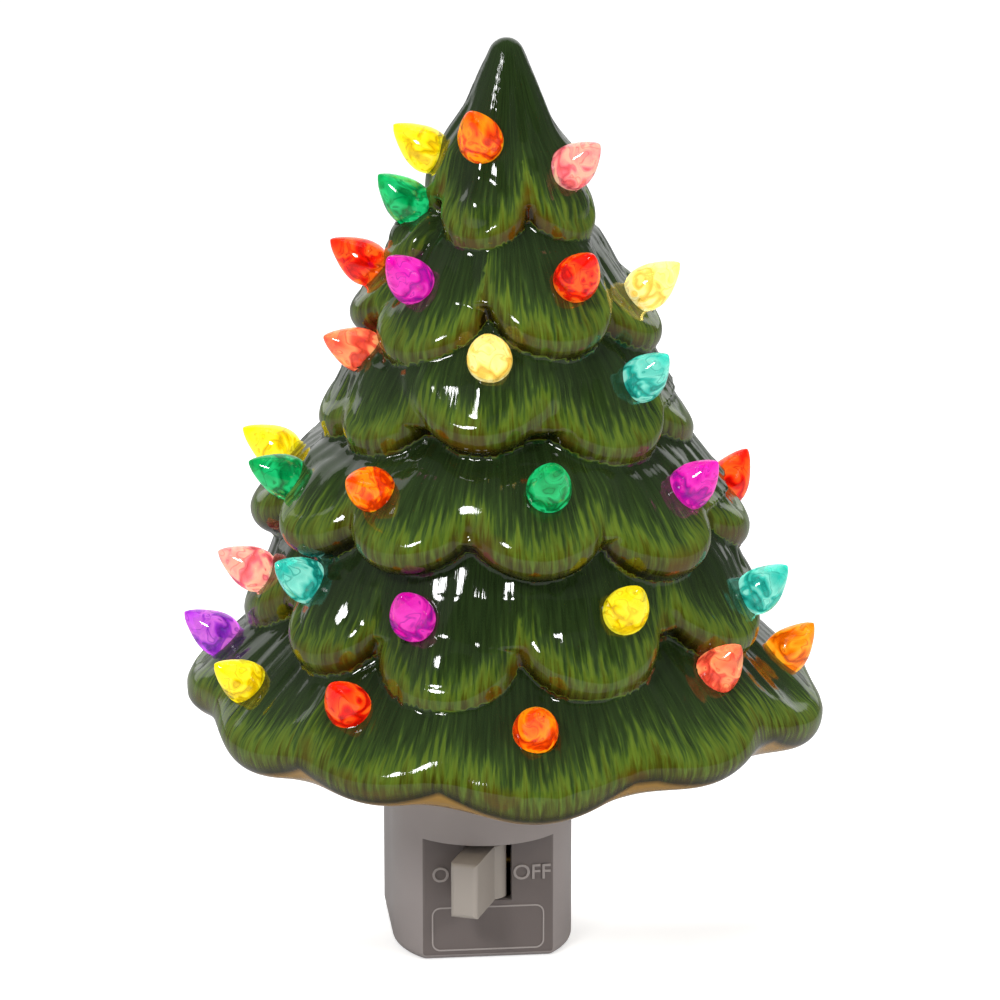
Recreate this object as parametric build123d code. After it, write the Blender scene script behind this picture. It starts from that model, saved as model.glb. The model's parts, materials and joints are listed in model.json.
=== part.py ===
from build123d import *
from collections import namedtuple
import math
import os

# Plug-in night light: a hollow ceramic Christmas tree shade with coloured peg lights, on a lamp
# holder with a toggle switch. Millimetres. The origin is on the holder's wall face, midway between
# the plug blades. +Y goes into the wall, the front looks along -Y and +Z is up.

# Clearances
FIT = 0.1  # between pieces that are fixed together
RUN = 0.35  # round a piece that turns
NECK_FIT = 0.3  # between the neck and the shade's floor
SCREW_FIT = 0.3  # round a screw in the back cover

# Lamp holder
HOLDER_RADIUS = 16.5
HOLDER_HEIGHT = 43.4
HOLDER_WALL = 2.0
HOLDER_EDGE = 1.6
TOP_WALL = 2.5
LAMP_DEPTH = 19.0  # from the wall face to the lamp's axis
BLADE_HEIGHT = 14.2  # from the holder's underside to the blades' middle
COVER_THICKNESS = 3.0
NECK_WALL = 1.9
NECK_SPARE = 5.0  # of the neck above its ring

# Flat switch plate on the holder's front
PLATE_RECESS = 5.0  # behind the round front
PLATE_HEIGHT = 23.7
PLATE_CORNER = 0.8
SLOT_DROP = 1.3  # from the plate's top edge to the slot

# Switch lever
LEVER_THICKNESS = 5.0
LEVER_HEIGHT = 10.4
LEVER_REACH = 14.0
LEVER_LEAN = 23.0  # degrees to either side of the middle
LEVER_EDGE = 0.9
PIVOT_DEPTH = 3.0  # behind the plate's face
HUB_RADIUS = 2.4
PIN_RADIUS = 1.0
PIN_LENGTH = 2.2
BEARING_WALL = 0.6
NOSE_REACH = 4.5
NOSE_RADIUS = 1.0

# Plug blades, the common two-pin flat sizes
BLADE_SPACING = 12.7
BLADE_THICKNESS = 1.5
BLADE_LENGTH = 16.5
BLADE_INSIDE = 6.0  # behind the cover
BLADE_FLANGE = 1.5
BLADE_HOLE = 3.0
BLADE_HOLE_REACH = 11.8
LINE_WIDTH = 6.35
NEUTRAL_WIDTH = 7.94

# Brass strips inside the holder
STRIP_THICKNESS = 0.6
STRIP_WIDTH = 4.0
STRIP_LAP = 4.0  # along the blade that it is riveted to
LEAF_THICKNESS = 0.3
LEAF_HEIGHT = 4.5
TAB_THICKNESS = 0.4
TAB_GAP = 0.7  # under the socket sleeve
RIVET_RADIUS = 1.2
RIB_HEIGHT = 5.0
RIB_THICKNESS = 2.0

# Cover screws
SCREW_RADIUS = 1.3
SCREW_LENGTH = 9.0
SCREW_HEAD_RADIUS = 2.5
SCREW_HEAD = 1.8
SCREW_SINK = 0.2  # of the head below the cover's face
CROSS_WIDTH = 0.7
CROSS_DEPTH = 0.9
SCREW_DROP = 6.7  # of the upper pair below the holder's ceiling
BOSS_WALL = 1.6
BOSS_END = 2.0  # past the screw's end
BOSS_ROOT = 0.3  # of a boss inside the wall beside it

# Socket and lamp, candelabra sizes
SLEEVE_WALL = 4.35
FLANGE_THICKNESS = 2.0
SLEEVE_WEB = 1.5
WEB_HOLE = 4.95
SHELL_RADIUS = 6.55
SHELL_WALL = 0.4
SHELL_HEIGHT = 16.0
SHELL_HOLE = 4.15
CAP_GAP = 0.2  # between the lamp's cap and the screw shell
CAP_WALL = 0.4
CAP_HEIGHT = 14.8
CAP_HOLE = 4.9
CAP_LIP = 0.5
TIP_RADIUS = 2.4
TIP_HEIGHT = 1.2
TIP_SINK = 0.2  # of the tip into the screw shell's floor
INSULATOR_CONE = 1.5
INSULATOR_DISC = 1.0
LAMP_RADIUS = 11.1
LAMP_LENGTH = 54.0
GLASS_WALL = 0.7
GLASS_GAP = 0.25  # between the glass and the cap
GLASS_FOOT = 4.0  # inside the cap
MOUNT_RADIUS = 3.2
MOUNT_HEIGHT = 17.0
LEAD_SPREAD = 2.4
LEAD_RADIUS = 0.35
LEAD_LENGTH = 11.0
FILAMENT_RADIUS = 0.26

# Ring that clamps the shade's floor
RING_WIDTH = 4.0
RING_HEIGHT = 5.0
NOTCH_RADIUS = 1.4
NOTCH_DEPTH = 0.8
NOTCH_STEP = 30  # degrees

# Ceramic shade. Heights are above the lowest hem.
TREE_SHIFT = 4.5  # the shade sits off the holder's middle
CROWN_HEIGHT = 36.0  # from the top tier's hem to the tree's tip
CROWN_WALL = 13.5  # from the hollow up to the tip
TREE_TIP_RADIUS = 3.2
SHADE_WALL = 4.0
SHADE_BACK = 1.0  # from the wall face to the flat open back
FLOOR_RECESS = 5.0
FLOOR_THICKNESS = 5.0
HEM_LIFT = 3.0
UNDERCUT = 2.5  # from a tier's fullest level down to the narrow one under it
BRANCH_DOME = 2.0

# Each tier of branch tips: height of its hem, reach of its tips from the axis, slope of the tips
# below the horizontal, roundness of their rims, and the plain cone behind the tips: its radius at
# the tier's fullest level, that level above the hem, and its radius just under it. Every tip has
# its angle from the front, its lift above the hem, its stretch past the reach and its own radius.
Tier = namedtuple("Tier", "hem reach slope rim body rise neck tips")
TIERS = [
    Tier(
        *(94.0, 17.0, 60.0, 3.3, 14.3, 9.0, 12.0),
        [(-176, 1, -2, 9.0), (-106, 3, -2, 8.5), (-26, 0, 0, 7.8), (48, 0, 0, 7.8), (113, 0, -1, 9.0)],
    ),
    Tier(
        *(75.0, 28.0, 41.0, 3.8, 22.0, 12.0, 18.5),
        [(-100, 1.5, 0, 11.5), (-48, -0.5, 0, 11.0), (18, 2.5, 0, 11.3), (74, -1, 0, 11.5), (124, 0.35, 0, 12.0)],
    ),
    Tier(
        *(57.0, 33.7, 45.0, 4.0, 31.0, 9.5, 26.5),
        [(-128, 1, 0, 12.5), (-88, 1, 0, 11.5), (-58, 1.5, 0, 9.8), (-15, 5.35, 0, 12.2)]
        + [(37, 1, 0, 13.2), (86, -2, 0, 13.5), (134, 0, 0, 13.0)],
    ),
    Tier(
        *(38.5, 45.0, 35.0, 4.5, 40.5, 10.5, 36.5),
        [(-98, 1, 1.2, 13.0), (-64.7, 3, 0, 11.0), (-33, 4, 0, 11.5), (2.5, 4, 0, 12.2)]
        + [(39.8, 1, 0, 12.5), (84, -2, -1, 14.5), (122.8, 0, 0, 14.5)],
    ),
    Tier(
        *(17.5, 47.5, 49.0, 4.5, 42.5, 13.5, 39.5),
        [(-94, 4, 0, 14.0), (-54, 4.5, 0, 10.5), (-21, 0, 0, 12.5), (16, 3, 0, 13.3)]
        + [(58, 4.35, 1, 13.6), (97, 3, 0, 15.0)],
    ),
    Tier(
        *(2.0, 57.0, 30.0, 4.5, 51.5, 8.0, 49.0),
        [(-94, 5, 1, 16.0), (-62, 2, 0, 16.0), (-32, 2.5, 0, 16.0), (0, 0.5, 0, 17.0)]
        + [(35, 3.5, 0, 17.0), (71, 1.5, 1, 17.0), (104, 1, 0, 17.0)],
    ),
]
SIDE_BRANCH = Tier(88.0, 22.0, 52.0, 3.2, 0.0, 0.0, 0.0, [(-86, 0, 0, 7.2)])

# Peg lights: a teardrop on a stem. The list gives each one's tier and colour, its angle from the
# front, the height of its seat above the tier's hem, and its tilt above the horizontal in degrees.
LIGHT_RADIUS = 4.0
LIGHT_LENGTH = 11.2
LIGHT_BASE = 2.7
LIGHT_BELLY = 3.2
STEM_RADIUS = 1.6
STEM_LENGTH = 6.0
HOLE_SPARE = 1.5  # of a stem's hole into the hollow
SEAT_DEPTH = 2.0
Light = namedtuple("Light", "tier colour angle rise tilt")
LIGHTS = [
    Light(1, "yellow", -98, 14.6, 38),
    Light(1, "orange", -30, 18.4, 52),
    Light(1, "pink", 51, 13.2, 40),
    Light(1, "green", -88, 5.7, 44),
    Light(2, "red_left", -98, 13.2, 34),
    Light(2, "magenta", -54, 13.4, 44),
    Light(2, "red", 25, 15.2, 45),
    Light(2, "cream", 72, 10.0, 40),
    Light(3, "salmon", -79, 17.6, 24),
    Light(3, "cream", -12, 20.6, 46),
    Light(3, "teal", 48, 14.3, 45),
    Light(4, "yellow", -103, 14.2, 30),
    Light(4, "green_left", -82, 13.3, 26),
    Light(4, "orange", -43, 17.0, 26),
    Light(4, "green", 5, 18.6, 48),
    Light(4, "magenta", 52, 14.1, 45),
    Light(4, "red", 100, 5.2, 58),
    Light(5, "pink", -88, 15.9, 30),
    Light(5, "teal_left", -63, 18.8, 34),
    Light(5, "magenta", -28.5, 16.7, 48),
    Light(5, "yellow", 22.5, 17.6, 48),
    Light(5, "teal", 66, 14.0, 45),
    Light(6, "purple", -92, 18.1, 36),
    Light(6, "yellow", -71, 14.7, 36),
    Light(6, "red", -40, 16.6, 46),
    Light(6, "orange", 0, 15.0, 42),
    Light(6, "salmon", 47, 18.8, 50),
    Light(6, "amber", 78, 15.0, 50),
]

# Sizes that follow from the ones above
SLEEVE_RADIUS = SHELL_RADIUS + FIT + SLEEVE_WALL
FLANGE_RADIUS = HOLDER_RADIUS - HOLDER_WALL - FIT
NECK_RADIUS = SLEEVE_RADIUS + FIT + NECK_WALL
NECK_HEIGHT = FLOOR_THICKNESS + RING_HEIGHT + NECK_SPARE
RING_RADIUS = NECK_RADIUS + RING_WIDTH
RECESS_RADIUS = TIERS[-1].neck - SHADE_WALL
TREE_HEIGHT = TIERS[0].hem + CROWN_HEIGHT
CAP_RADIUS = SHELL_RADIUS - SHELL_WALL - CAP_GAP
BOSS_RADIUS = SCREW_RADIUS + BOSS_WALL
BOSS_LENGTH = SCREW_LENGTH - COVER_THICKNESS + SCREW_HEAD + SCREW_SINK + BOSS_END
LEAN = math.radians(LEVER_LEAN)
SLOT_WIDTH = 2 * (PIVOT_DEPTH * math.tan(LEAN) + LEVER_THICKNESS / 2 / math.cos(LEAN) + RUN)
SLOT_HEIGHT = LEVER_HEIGHT + 2 * RUN

# Levels and planes that several pieces share
BOTTOM_Z = -BLADE_HEIGHT
SHOULDER_Z = BOTTOM_Z + HOLDER_HEIGHT
CEILING_Z = SHOULDER_Z - TOP_WALL
NECK_TOP_Z = SHOULDER_Z + NECK_HEIGHT
HEM_Z = SHOULDER_Z - FLOOR_RECESS
FLOOR_TOP_Z = SHOULDER_Z + FLOOR_THICKNESS
PLATE_TOP_Z = BOTTOM_Z + PLATE_HEIGHT
SLOT_Z = PLATE_TOP_Z - SLOT_DROP - SLOT_HEIGHT / 2
PLATE_Y = -LAMP_DEPTH - HOLDER_RADIUS + PLATE_RECESS
PLATE_INNER_Y = PLATE_Y + HOLDER_WALL
ROUND_Y = -LAMP_DEPTH - HOLDER_RADIUS
PIVOT_Y = PLATE_Y + PIVOT_DEPTH
COVER_Y = -COVER_THICKNESS
SCREW_SEAT_Y = -SCREW_SINK - SCREW_HEAD
SLEEVE_BOTTOM_Z = CEILING_Z - FLANGE_THICKNESS
SEAT_Z = SLEEVE_BOTTOM_Z + SLEEVE_WEB
TAB_Z = SLEEVE_BOTTOM_Z - TAB_GAP
LAMP_TIP_Z = SEAT_Z - TIP_SINK
LAMP_TOP_Z = LAMP_TIP_Z + LAMP_LENGTH
INSULATOR_Z = LAMP_TIP_Z + TIP_HEIGHT
CAP_Z = INSULATOR_Z + INSULATOR_CONE
CAP_LIP_Z = CAP_Z + CAP_LIP
CAP_TOP_Z = CAP_Z + CAP_HEIGHT
MOUNT_Z = CAP_LIP_Z + INSULATOR_DISC
LEAD_Z = MOUNT_Z + MOUNT_HEIGHT
STRIP_X = BLADE_SPACING / 2 - BLADE_THICKNESS / 2  # inner faces of the blades
TERMINAL_X = STRIP_X - STRIP_THICKNESS
LEAF_X = NOSE_REACH * math.sin(LEAN) + NOSE_RADIUS + RUN
LEAF_OUTER_X = LEAF_X + LEAF_THICKNESS
RIVET_X = (LEAF_OUTER_X + TERMINAL_X) / 2  # where the closed contacts meet
CONTACT_Y = PIVOT_Y + NOSE_REACH * math.cos(LEAN)
LAP_Y = COVER_Y - BLADE_INSIDE + STRIP_LAP
LAMP_AXIS = Pos(0, -LAMP_DEPTH, 0)
TREE_BASE = Pos(TREE_SHIFT, -LAMP_DEPTH, HEM_Z)


def block(x0, x1, y0, y1, z0, z1):
    """Box between two corners."""
    middle = Pos((x0 + x1) / 2, (y0 + y1) / 2, (z0 + z1) / 2)
    return middle * Box(abs(x1 - x0), abs(y1 - y0), abs(z1 - z0))


def rod(radius, start, end):
    """Cylinder from one point to another."""
    way = Vector(*end) - Vector(*start)
    return Solid.make_cylinder(radius, way.length, Plane(Vector(*start), z_dir=way))


def turned(*lines):
    """Solid of revolution about Z from a closed outline given as (radius, height)."""
    return revolve(Plane.XZ * make_face(lines), Axis.Z)


def turned_points(points):
    """Solid of revolution about Z from the corners of its outline."""
    return turned(*Polyline(*points, close=True).edges())


def facing(angle):
    """Unit vector to a tree angle: 0 looks to the front, 90 to +X."""
    turn = math.radians(angle)
    return Vector(math.sin(turn), -math.cos(turn), 0)


# Ceramic shade
def branch_tip(radius, rim):
    """Round scale with a full rim and a slightly domed face, lying on XY."""
    flat = radius - rim
    curve = (flat * flat + BRANCH_DOME * BRANCH_DOME) / (2 * BRANCH_DOME)
    half = math.degrees(math.asin(flat / curve))
    return turned(
        Line((0, -rim), (flat, -rim)),
        CenterArc((flat, 0), rim, -90, 180),
        CenterArc((0, rim + BRANCH_DOME - curve), curve, 90 - half, half),
        Line((0, rim + BRANCH_DOME), (0, -rim)),
    )


def place_tip(tier, angle, lift, stretch, radius):
    """Branch tip of a tier, set at its angle with its rim at its own reach and hem."""
    slope = math.radians(tier.slope)
    flat = radius - tier.rim
    out = facing(angle)
    centre = out * (tier.reach + stretch - flat * math.cos(slope) - tier.rim)
    centre += Vector(0, 0, tier.hem + lift + flat * math.sin(slope) + tier.rim)
    normal = out * math.sin(slope) + Vector(0, 0, math.cos(slope))
    sideways = Vector(-out.Y, out.X, 0)
    return Plane(centre, x_dir=sideways, z_dir=normal) * branch_tip(radius, tier.rim)


def tree_cone():
    """Plain stepped cone behind the branches, with a rounded top."""
    outline = [(0, HEM_LIFT), (TIERS[-1].neck, HEM_LIFT)]
    for tier in reversed(TIERS):
        outline.append((tier.neck, tier.hem + tier.rise - UNDERCUT))
        outline.append((tier.body, tier.hem + tier.rise))
    wide, low = outline[-1]
    centre = TREE_HEIGHT - TREE_TIP_RADIUS
    away = math.hypot(wide, centre - low)
    lean = math.atan2(wide, centre - low) - math.asin(TREE_TIP_RADIUS / away)
    outline.append((TREE_TIP_RADIUS * math.cos(lean), centre + TREE_TIP_RADIUS * math.sin(lean)))
    sides = [Line(start, end) for start, end in zip(outline, outline[1:])]
    top = CenterArc((0, centre), TREE_TIP_RADIUS, math.degrees(lean), 90 - math.degrees(lean))
    return turned(*sides, top, Line((0, TREE_HEIGHT), (0, HEM_LIFT)))


def tree_outside():
    """Solid tree: the plain cone and every branch tip."""
    solid = tree_cone()
    for tier in [*TIERS, SIDE_BRANCH]:
        for tip in tier.tips:
            solid = solid.fuse(place_tip(tier, *tip))
    return solid


def tree_hollow():
    """Space inside the shade, above its floor."""
    floor_top = FLOOR_RECESS + FLOOR_THICKNESS
    outline = [(0, floor_top)]
    for tier in reversed(TIERS):
        level = tier.hem + tier.rise
        if level - UNDERCUT > floor_top:
            outline.append((tier.neck - SHADE_WALL, level - UNDERCUT))
        outline.append((tier.body - SHADE_WALL, max(level, floor_top)))
    outline.append((0, TREE_HEIGHT - CROWN_WALL))
    return turned_points(outline)


def light_seat(light, outside):
    """Plane of a peg light's seat, its Z along the light's axis."""
    out = facing(light.angle)
    level = Vector(0, 0, TIERS[light.tier - 1].hem + light.rise)
    hits = [point for point, _ in outside.find_intersection_points(Axis(level, out))]
    surface = max(hits, key=lambda point: (point - level).dot(out))
    tilt = math.radians(light.tilt)
    axis = out * math.cos(tilt) + Vector(0, 0, math.sin(tilt))
    return Plane(surface - axis * SEAT_DEPTH, z_dir=axis)


def stem_hole(seat, hollow):
    """Hole for a peg light's stem, from its seat into the hollow."""
    inward = -seat.z_dir
    walls = hollow.find_intersection_points(Axis(seat.origin, inward))
    depths = [(point - seat.origin).dot(inward) for point, _ in walls]
    depth = max(STEM_LENGTH, min(value for value in depths if value > 0)) + HOLE_SPARE
    return rod(STEM_RADIUS + FIT, seat.origin - inward, seat.origin + inward * depth)


def tree_shell():
    """Ceramic shade in its own frame, and the seats of its peg lights."""
    outside = tree_outside()
    hollow = tree_hollow()
    seats = {f"light_t{light.tier}_{light.colour}": light_seat(light, outside) for light in LIGHTS}
    back_y = LAMP_DEPTH - SHADE_BACK
    reach = 2 * TREE_HEIGHT
    behind = block(-reach, reach, back_y, back_y + reach, -reach, reach)
    recess = rod(RECESS_RADIUS, (0, 0, -FLOOR_RECESS), (0, 0, FLOOR_RECESS))
    floor_top = FLOOR_RECESS + FLOOR_THICKNESS
    neck = rod(NECK_RADIUS + NECK_FIT, (-TREE_SHIFT, 0, 0), (-TREE_SHIFT, 0, floor_top + FLOOR_RECESS))
    shell = outside - hollow.fuse(behind, recess, neck)
    pockets = []
    for seat in seats.values():
        end = seat.origin + seat.z_dir * LIGHT_LENGTH
        pockets.append(rod(LIGHT_RADIUS + RUN, seat.origin, end))
        pockets.append(stem_hole(seat, hollow))
    return shell.cut(*pockets), seats


def peg_light():
    """Peg light with its axis on Z and its seat at zero."""
    belly = [(LIGHT_BASE, 0), (LIGHT_RADIUS, LIGHT_BELLY), (0.8 * LIGHT_RADIUS, 0.6 * LIGHT_LENGTH)]
    belly += [(0.38 * LIGHT_RADIUS, 0.86 * LIGHT_LENGTH), (0, LIGHT_LENGTH)]
    return turned(
        Line((0, -STEM_LENGTH), (STEM_RADIUS, -STEM_LENGTH)),
        Line((STEM_RADIUS, -STEM_LENGTH), (STEM_RADIUS, 0)),
        Line((STEM_RADIUS, 0), (LIGHT_BASE, 0)),
        Spline(*belly, tangents=[(0.7, 1), (-1, 0.8)]),
        Line((0, LIGHT_LENGTH), (0, -STEM_LENGTH)),
    )


# Lamp holder
def holder_plan(radius, front_y):
    """Outline of the holder seen from above: round at the front, or flat where front_y cuts it."""
    plan = block(-radius, radius, -LAMP_DEPTH, COVER_Y, 0, 1) + rod(
        radius, (0, -LAMP_DEPTH, 0), (0, -LAMP_DEPTH, 1)
    )
    plan -= block(-2 * radius, 2 * radius, COVER_Y, 2 * radius, -1, 2)
    if front_y > -LAMP_DEPTH - radius:
        plan -= block(-2 * radius, 2 * radius, front_y - 2 * radius, front_y, -1, 2)
    return plan.faces().sort_by(Axis.Z)[0]


def prism(plan, z0, z1):
    """Solid that stands on an outline between two heights."""
    return extrude(plan.moved(Pos(0, 0, z0)), z1 - z0, dir=(0, 0, 1))


def screw_places():
    """Places of the cover screws as (x, z), by name."""
    side = HOLDER_RADIUS - HOLDER_WALL - BOSS_RADIUS + BOSS_ROOT
    low = BOTTOM_Z + HOLDER_WALL + BOSS_RADIUS - BOSS_ROOT
    high = CEILING_Z - SCREW_DROP
    return {"left": (-side, high), "right": (side, high), "bottom": (0, low)}


def holder_body():
    """Outside of the front housing: the round body, flat below the brow over the switch plate."""
    lower = prism(holder_plan(HOLDER_RADIUS, PLATE_Y), BOTTOM_Z, PLATE_TOP_Z)
    corners = lower.edges().filter_by(Axis.Z).filter_by_position(Axis.Y, PLATE_Y - FIT, PLATE_Y + FIT)
    lower = fillet(corners, PLATE_CORNER)
    foot = lower.edges().filter_by_position(Axis.Z, BOTTOM_Z - FIT, BOTTOM_Z + FIT)
    lower = fillet(foot.filter_by(lambda edge: edge.center().Y < COVER_Y - FIT), HOLDER_EDGE)
    return lower + prism(holder_plan(HOLDER_RADIUS, ROUND_Y), PLATE_TOP_Z, SHOULDER_Z)


def switch_bearings():
    """Blocks behind the plate that hold the lever's pins."""
    side = HUB_RADIUS + BEARING_WALL
    blocks = []
    for way in (-1, 1):
        near = SLOT_Z + way * (LEVER_HEIGHT / 2 + RUN)
        far = near + way * (PIN_LENGTH + BEARING_WALL)
        blocks.append(block(-side, side, PLATE_INNER_Y - HOLDER_WALL / 2, PIVOT_Y + HUB_RADIUS, near, far))
    return blocks


def holder_front():
    """Front housing: round body with the flat switch plate, neck, screw bosses and switch bearings."""
    inner = HOLDER_RADIUS - HOLDER_WALL
    body = holder_body()
    body -= prism(holder_plan(inner, PLATE_INNER_Y), BOTTOM_Z + HOLDER_WALL, CEILING_Z)
    body -= prism(holder_plan(inner, ROUND_Y), PLATE_TOP_Z + HOLDER_WALL, CEILING_Z)
    body += rod(NECK_RADIUS, (0, -LAMP_DEPTH, CEILING_Z), (0, -LAMP_DEPTH, NECK_TOP_Z))
    body -= rod(SLEEVE_RADIUS + FIT, (0, -LAMP_DEPTH, SLEEVE_BOTTOM_Z), (0, -LAMP_DEPTH, NECK_TOP_Z + 1))
    for x, z in screw_places().values():
        body += rod(BOSS_RADIUS, (x, COVER_Y, z), (x, COVER_Y - BOSS_LENGTH, z))
        body -= rod(SCREW_RADIUS + FIT, (x, 0, z), (x, SCREW_SEAT_Y - SCREW_LENGTH - FIT, z))
    for bearing in switch_bearings():
        body += bearing
    pin_end = LEVER_HEIGHT / 2 + PIN_LENGTH + RUN
    body -= rod(PIN_RADIUS + RUN, (0, PIVOT_Y, SLOT_Z - pin_end), (0, PIVOT_Y, SLOT_Z + pin_end))
    tall = SLOT_HEIGHT / 2
    body -= block(-SLOT_WIDTH / 2, SLOT_WIDTH / 2, PLATE_Y - 1, PLATE_INNER_Y, SLOT_Z - tall, SLOT_Z + tall)
    rib_y = -LAMP_DEPTH + STRIP_WIDTH
    rib_z = PLATE_TOP_Z + RIB_HEIGHT
    half = RIB_THICKNESS / 2
    return body + block(LEAF_OUTER_X, inner + FIT, rib_y - half, rib_y + half, PLATE_TOP_Z, rib_z)


def holder_back():
    """Back cover with the blade slots and the screw holes."""
    cover = block(-HOLDER_RADIUS, HOLDER_RADIUS, COVER_Y, 0, BOTTOM_Z, SHOULDER_Z)
    edges = cover.edges().filter_by(Axis.Y).filter_by_position(Axis.Z, BOTTOM_Z - FIT, BOTTOM_Z + FIT)
    cover = fillet(edges, HOLDER_EDGE)
    for side, width in ((-1, NEUTRAL_WIDTH), (1, LINE_WIDTH)):
        x = side * BLADE_SPACING / 2
        thick = BLADE_THICKNESS / 2 + FIT
        tall = width / 2 + FIT
        cover -= block(x - thick, x + thick, COVER_Y - 1, 1, -tall, tall)
    for x, z in screw_places().values():
        cover -= rod(SCREW_RADIUS + SCREW_FIT, (x, COVER_Y - 1, z), (x, 1, z))
        cover -= rod(SCREW_HEAD_RADIUS + SCREW_FIT, (x, SCREW_SEAT_Y, z), (x, 1, z))
    return cover


def cover_screw(x, z):
    """Pan-head screw from the back, its head below the cover's face."""
    top = -SCREW_SINK
    screw = rod(SCREW_HEAD_RADIUS, (x, SCREW_SEAT_Y, z), (x, top, z))
    screw += rod(SCREW_RADIUS, (x, SCREW_SEAT_Y, z), (x, SCREW_SEAT_Y - SCREW_LENGTH, z))
    arm = 0.6 * SCREW_HEAD_RADIUS
    half = CROSS_WIDTH / 2
    screw -= block(x - arm, x + arm, top - CROSS_DEPTH, top + 1, z - half, z + half)
    screw -= block(x - half, x + half, top - CROSS_DEPTH, top + 1, z - arm, z + arm)
    return screw


def shade_ring():
    """Ring on the neck that holds the shade's floor down, with finger notches."""
    ring = Cylinder(RING_RADIUS, RING_HEIGHT) - Cylinder(NECK_RADIUS + FIT, 2 * RING_HEIGHT)
    notch = Pos(RING_RADIUS + NOTCH_RADIUS - NOTCH_DEPTH, 0, 0) * Cylinder(NOTCH_RADIUS, 2 * RING_HEIGHT)
    for angle in range(0, 360, NOTCH_STEP):
        ring -= Rot(0, 0, angle) * notch
    return LAMP_AXIS * Pos(0, 0, FLOOR_TOP_Z + RING_HEIGHT / 2) * ring


# Switch
def switch_lever():
    """Toggle lever with its hub, pivot pins and the nose that works the leaf, set at on."""
    tall = LEVER_HEIGHT / 2
    paddle = block(-LEVER_THICKNESS / 2, LEVER_THICKNESS / 2, -LEVER_REACH, 0, -tall, tall)
    front = paddle.edges().filter_by(lambda edge: edge.center().Y < -LEVER_REACH + FIT)
    lever = fillet(front, LEVER_EDGE)
    lever += Cylinder(HUB_RADIUS, LEVER_HEIGHT)
    lever += Cylinder(PIN_RADIUS, LEVER_HEIGHT + 2 * PIN_LENGTH)
    lever += block(-NOSE_RADIUS, NOSE_RADIUS, 0, NOSE_REACH, -LEAF_HEIGHT / 2, LEAF_HEIGHT / 2)
    lever += Pos(0, NOSE_REACH, 0) * Cylinder(NOSE_RADIUS, LEAF_HEIGHT)
    return Pos(0, PIVOT_Y, SLOT_Z) * Rot(0, 0, -LEVER_LEAN) * lever


def centre_contact():
    """Brass strip: the switch leaf, the riser and the tab under the lamp's tip."""
    low, high = SLOT_Z - LEAF_HEIGHT / 2, SLOT_Z + LEAF_HEIGHT / 2
    half = STRIP_WIDTH / 2
    rear = -LAMP_DEPTH + STRIP_WIDTH + half
    strip = block(LEAF_X, LEAF_OUTER_X, CONTACT_Y - 2 * RIVET_RADIUS, rear, low, high)
    strip += block(LEAF_X, LEAF_OUTER_X, rear - STRIP_WIDTH, rear, low, TAB_Z)
    strip += block(-half, LEAF_OUTER_X, -LAMP_DEPTH - half, rear, TAB_Z - TAB_THICKNESS, TAB_Z)
    strip += rod(RIVET_RADIUS, (LEAF_OUTER_X, CONTACT_Y, SLOT_Z), (RIVET_X, CONTACT_Y, SLOT_Z))
    button = Solid.make_cone(0.75 * TIP_RADIUS, 0.5 * TIP_RADIUS, LAMP_TIP_Z - TAB_Z)
    return strip + LAMP_AXIS * Pos(0, 0, TAB_Z) * button


def switch_terminal():
    """Brass strip from the line blade to the switch's fixed contact."""
    low, high = SLOT_Z - LEAF_HEIGHT / 2, SLOT_Z + LEAF_HEIGHT / 2
    strip = block(TERMINAL_X, STRIP_X, CONTACT_Y - 2 * RIVET_RADIUS, LAP_Y, low, high)
    return strip + rod(RIVET_RADIUS, (TERMINAL_X, CONTACT_Y, SLOT_Z), (RIVET_X, CONTACT_Y, SLOT_Z))


def neutral_strip():
    """Brass strip from the neutral blade up to the socket's screw shell."""
    half = STRIP_WIDTH / 2
    front = -LAMP_DEPTH - half
    strip = block(-STRIP_X, -TERMINAL_X, front, LAP_Y, -half, half)
    return strip + block(-STRIP_X, -TERMINAL_X, front, front + STRIP_WIDTH, -half, SEAT_Z)


def plug_blade(side, width):
    """Flat plug blade with its flange behind the cover."""
    x = side * BLADE_SPACING / 2
    thick = BLADE_THICKNESS / 2
    rear = COVER_Y - BLADE_INSIDE
    blade = block(x - thick, x + thick, rear, BLADE_LENGTH, -width / 2, width / 2)
    tip = blade.edges().filter_by_position(Axis.Y, BLADE_LENGTH - FIT, BLADE_LENGTH + FIT)
    blade = chamfer(tip, BLADE_THICKNESS / 4)
    tall = width / 2 + BLADE_FLANGE
    blade += block(x - thick, x + thick, rear, COVER_Y, -tall, tall)
    start = (x - BLADE_THICKNESS, BLADE_HOLE_REACH, 0)
    return blade - rod(BLADE_HOLE / 2, start, (x + BLADE_THICKNESS, BLADE_HOLE_REACH, 0))


# Socket and lamp
def socket_sleeve():
    """Insulating sleeve in the neck, held by a flange under the holder's ceiling."""
    bore = SHELL_RADIUS + FIT
    outside = [(WEB_HOLE, SLEEVE_BOTTOM_Z), (FLANGE_RADIUS, SLEEVE_BOTTOM_Z), (FLANGE_RADIUS, CEILING_Z)]
    outside += [(SLEEVE_RADIUS, CEILING_Z), (SLEEVE_RADIUS, NECK_TOP_Z)]
    inside = [(bore, NECK_TOP_Z), (bore, SEAT_Z), (WEB_HOLE, SEAT_Z)]
    sleeve = turned_points(outside + inside)
    half = STRIP_WIDTH / 2 + SCREW_FIT
    sleeve -= block(-STRIP_X - SCREW_FIT, 0, -half, half, SLEEVE_BOTTOM_Z - 1, SEAT_Z)
    return LAMP_AXIS * sleeve


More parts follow.
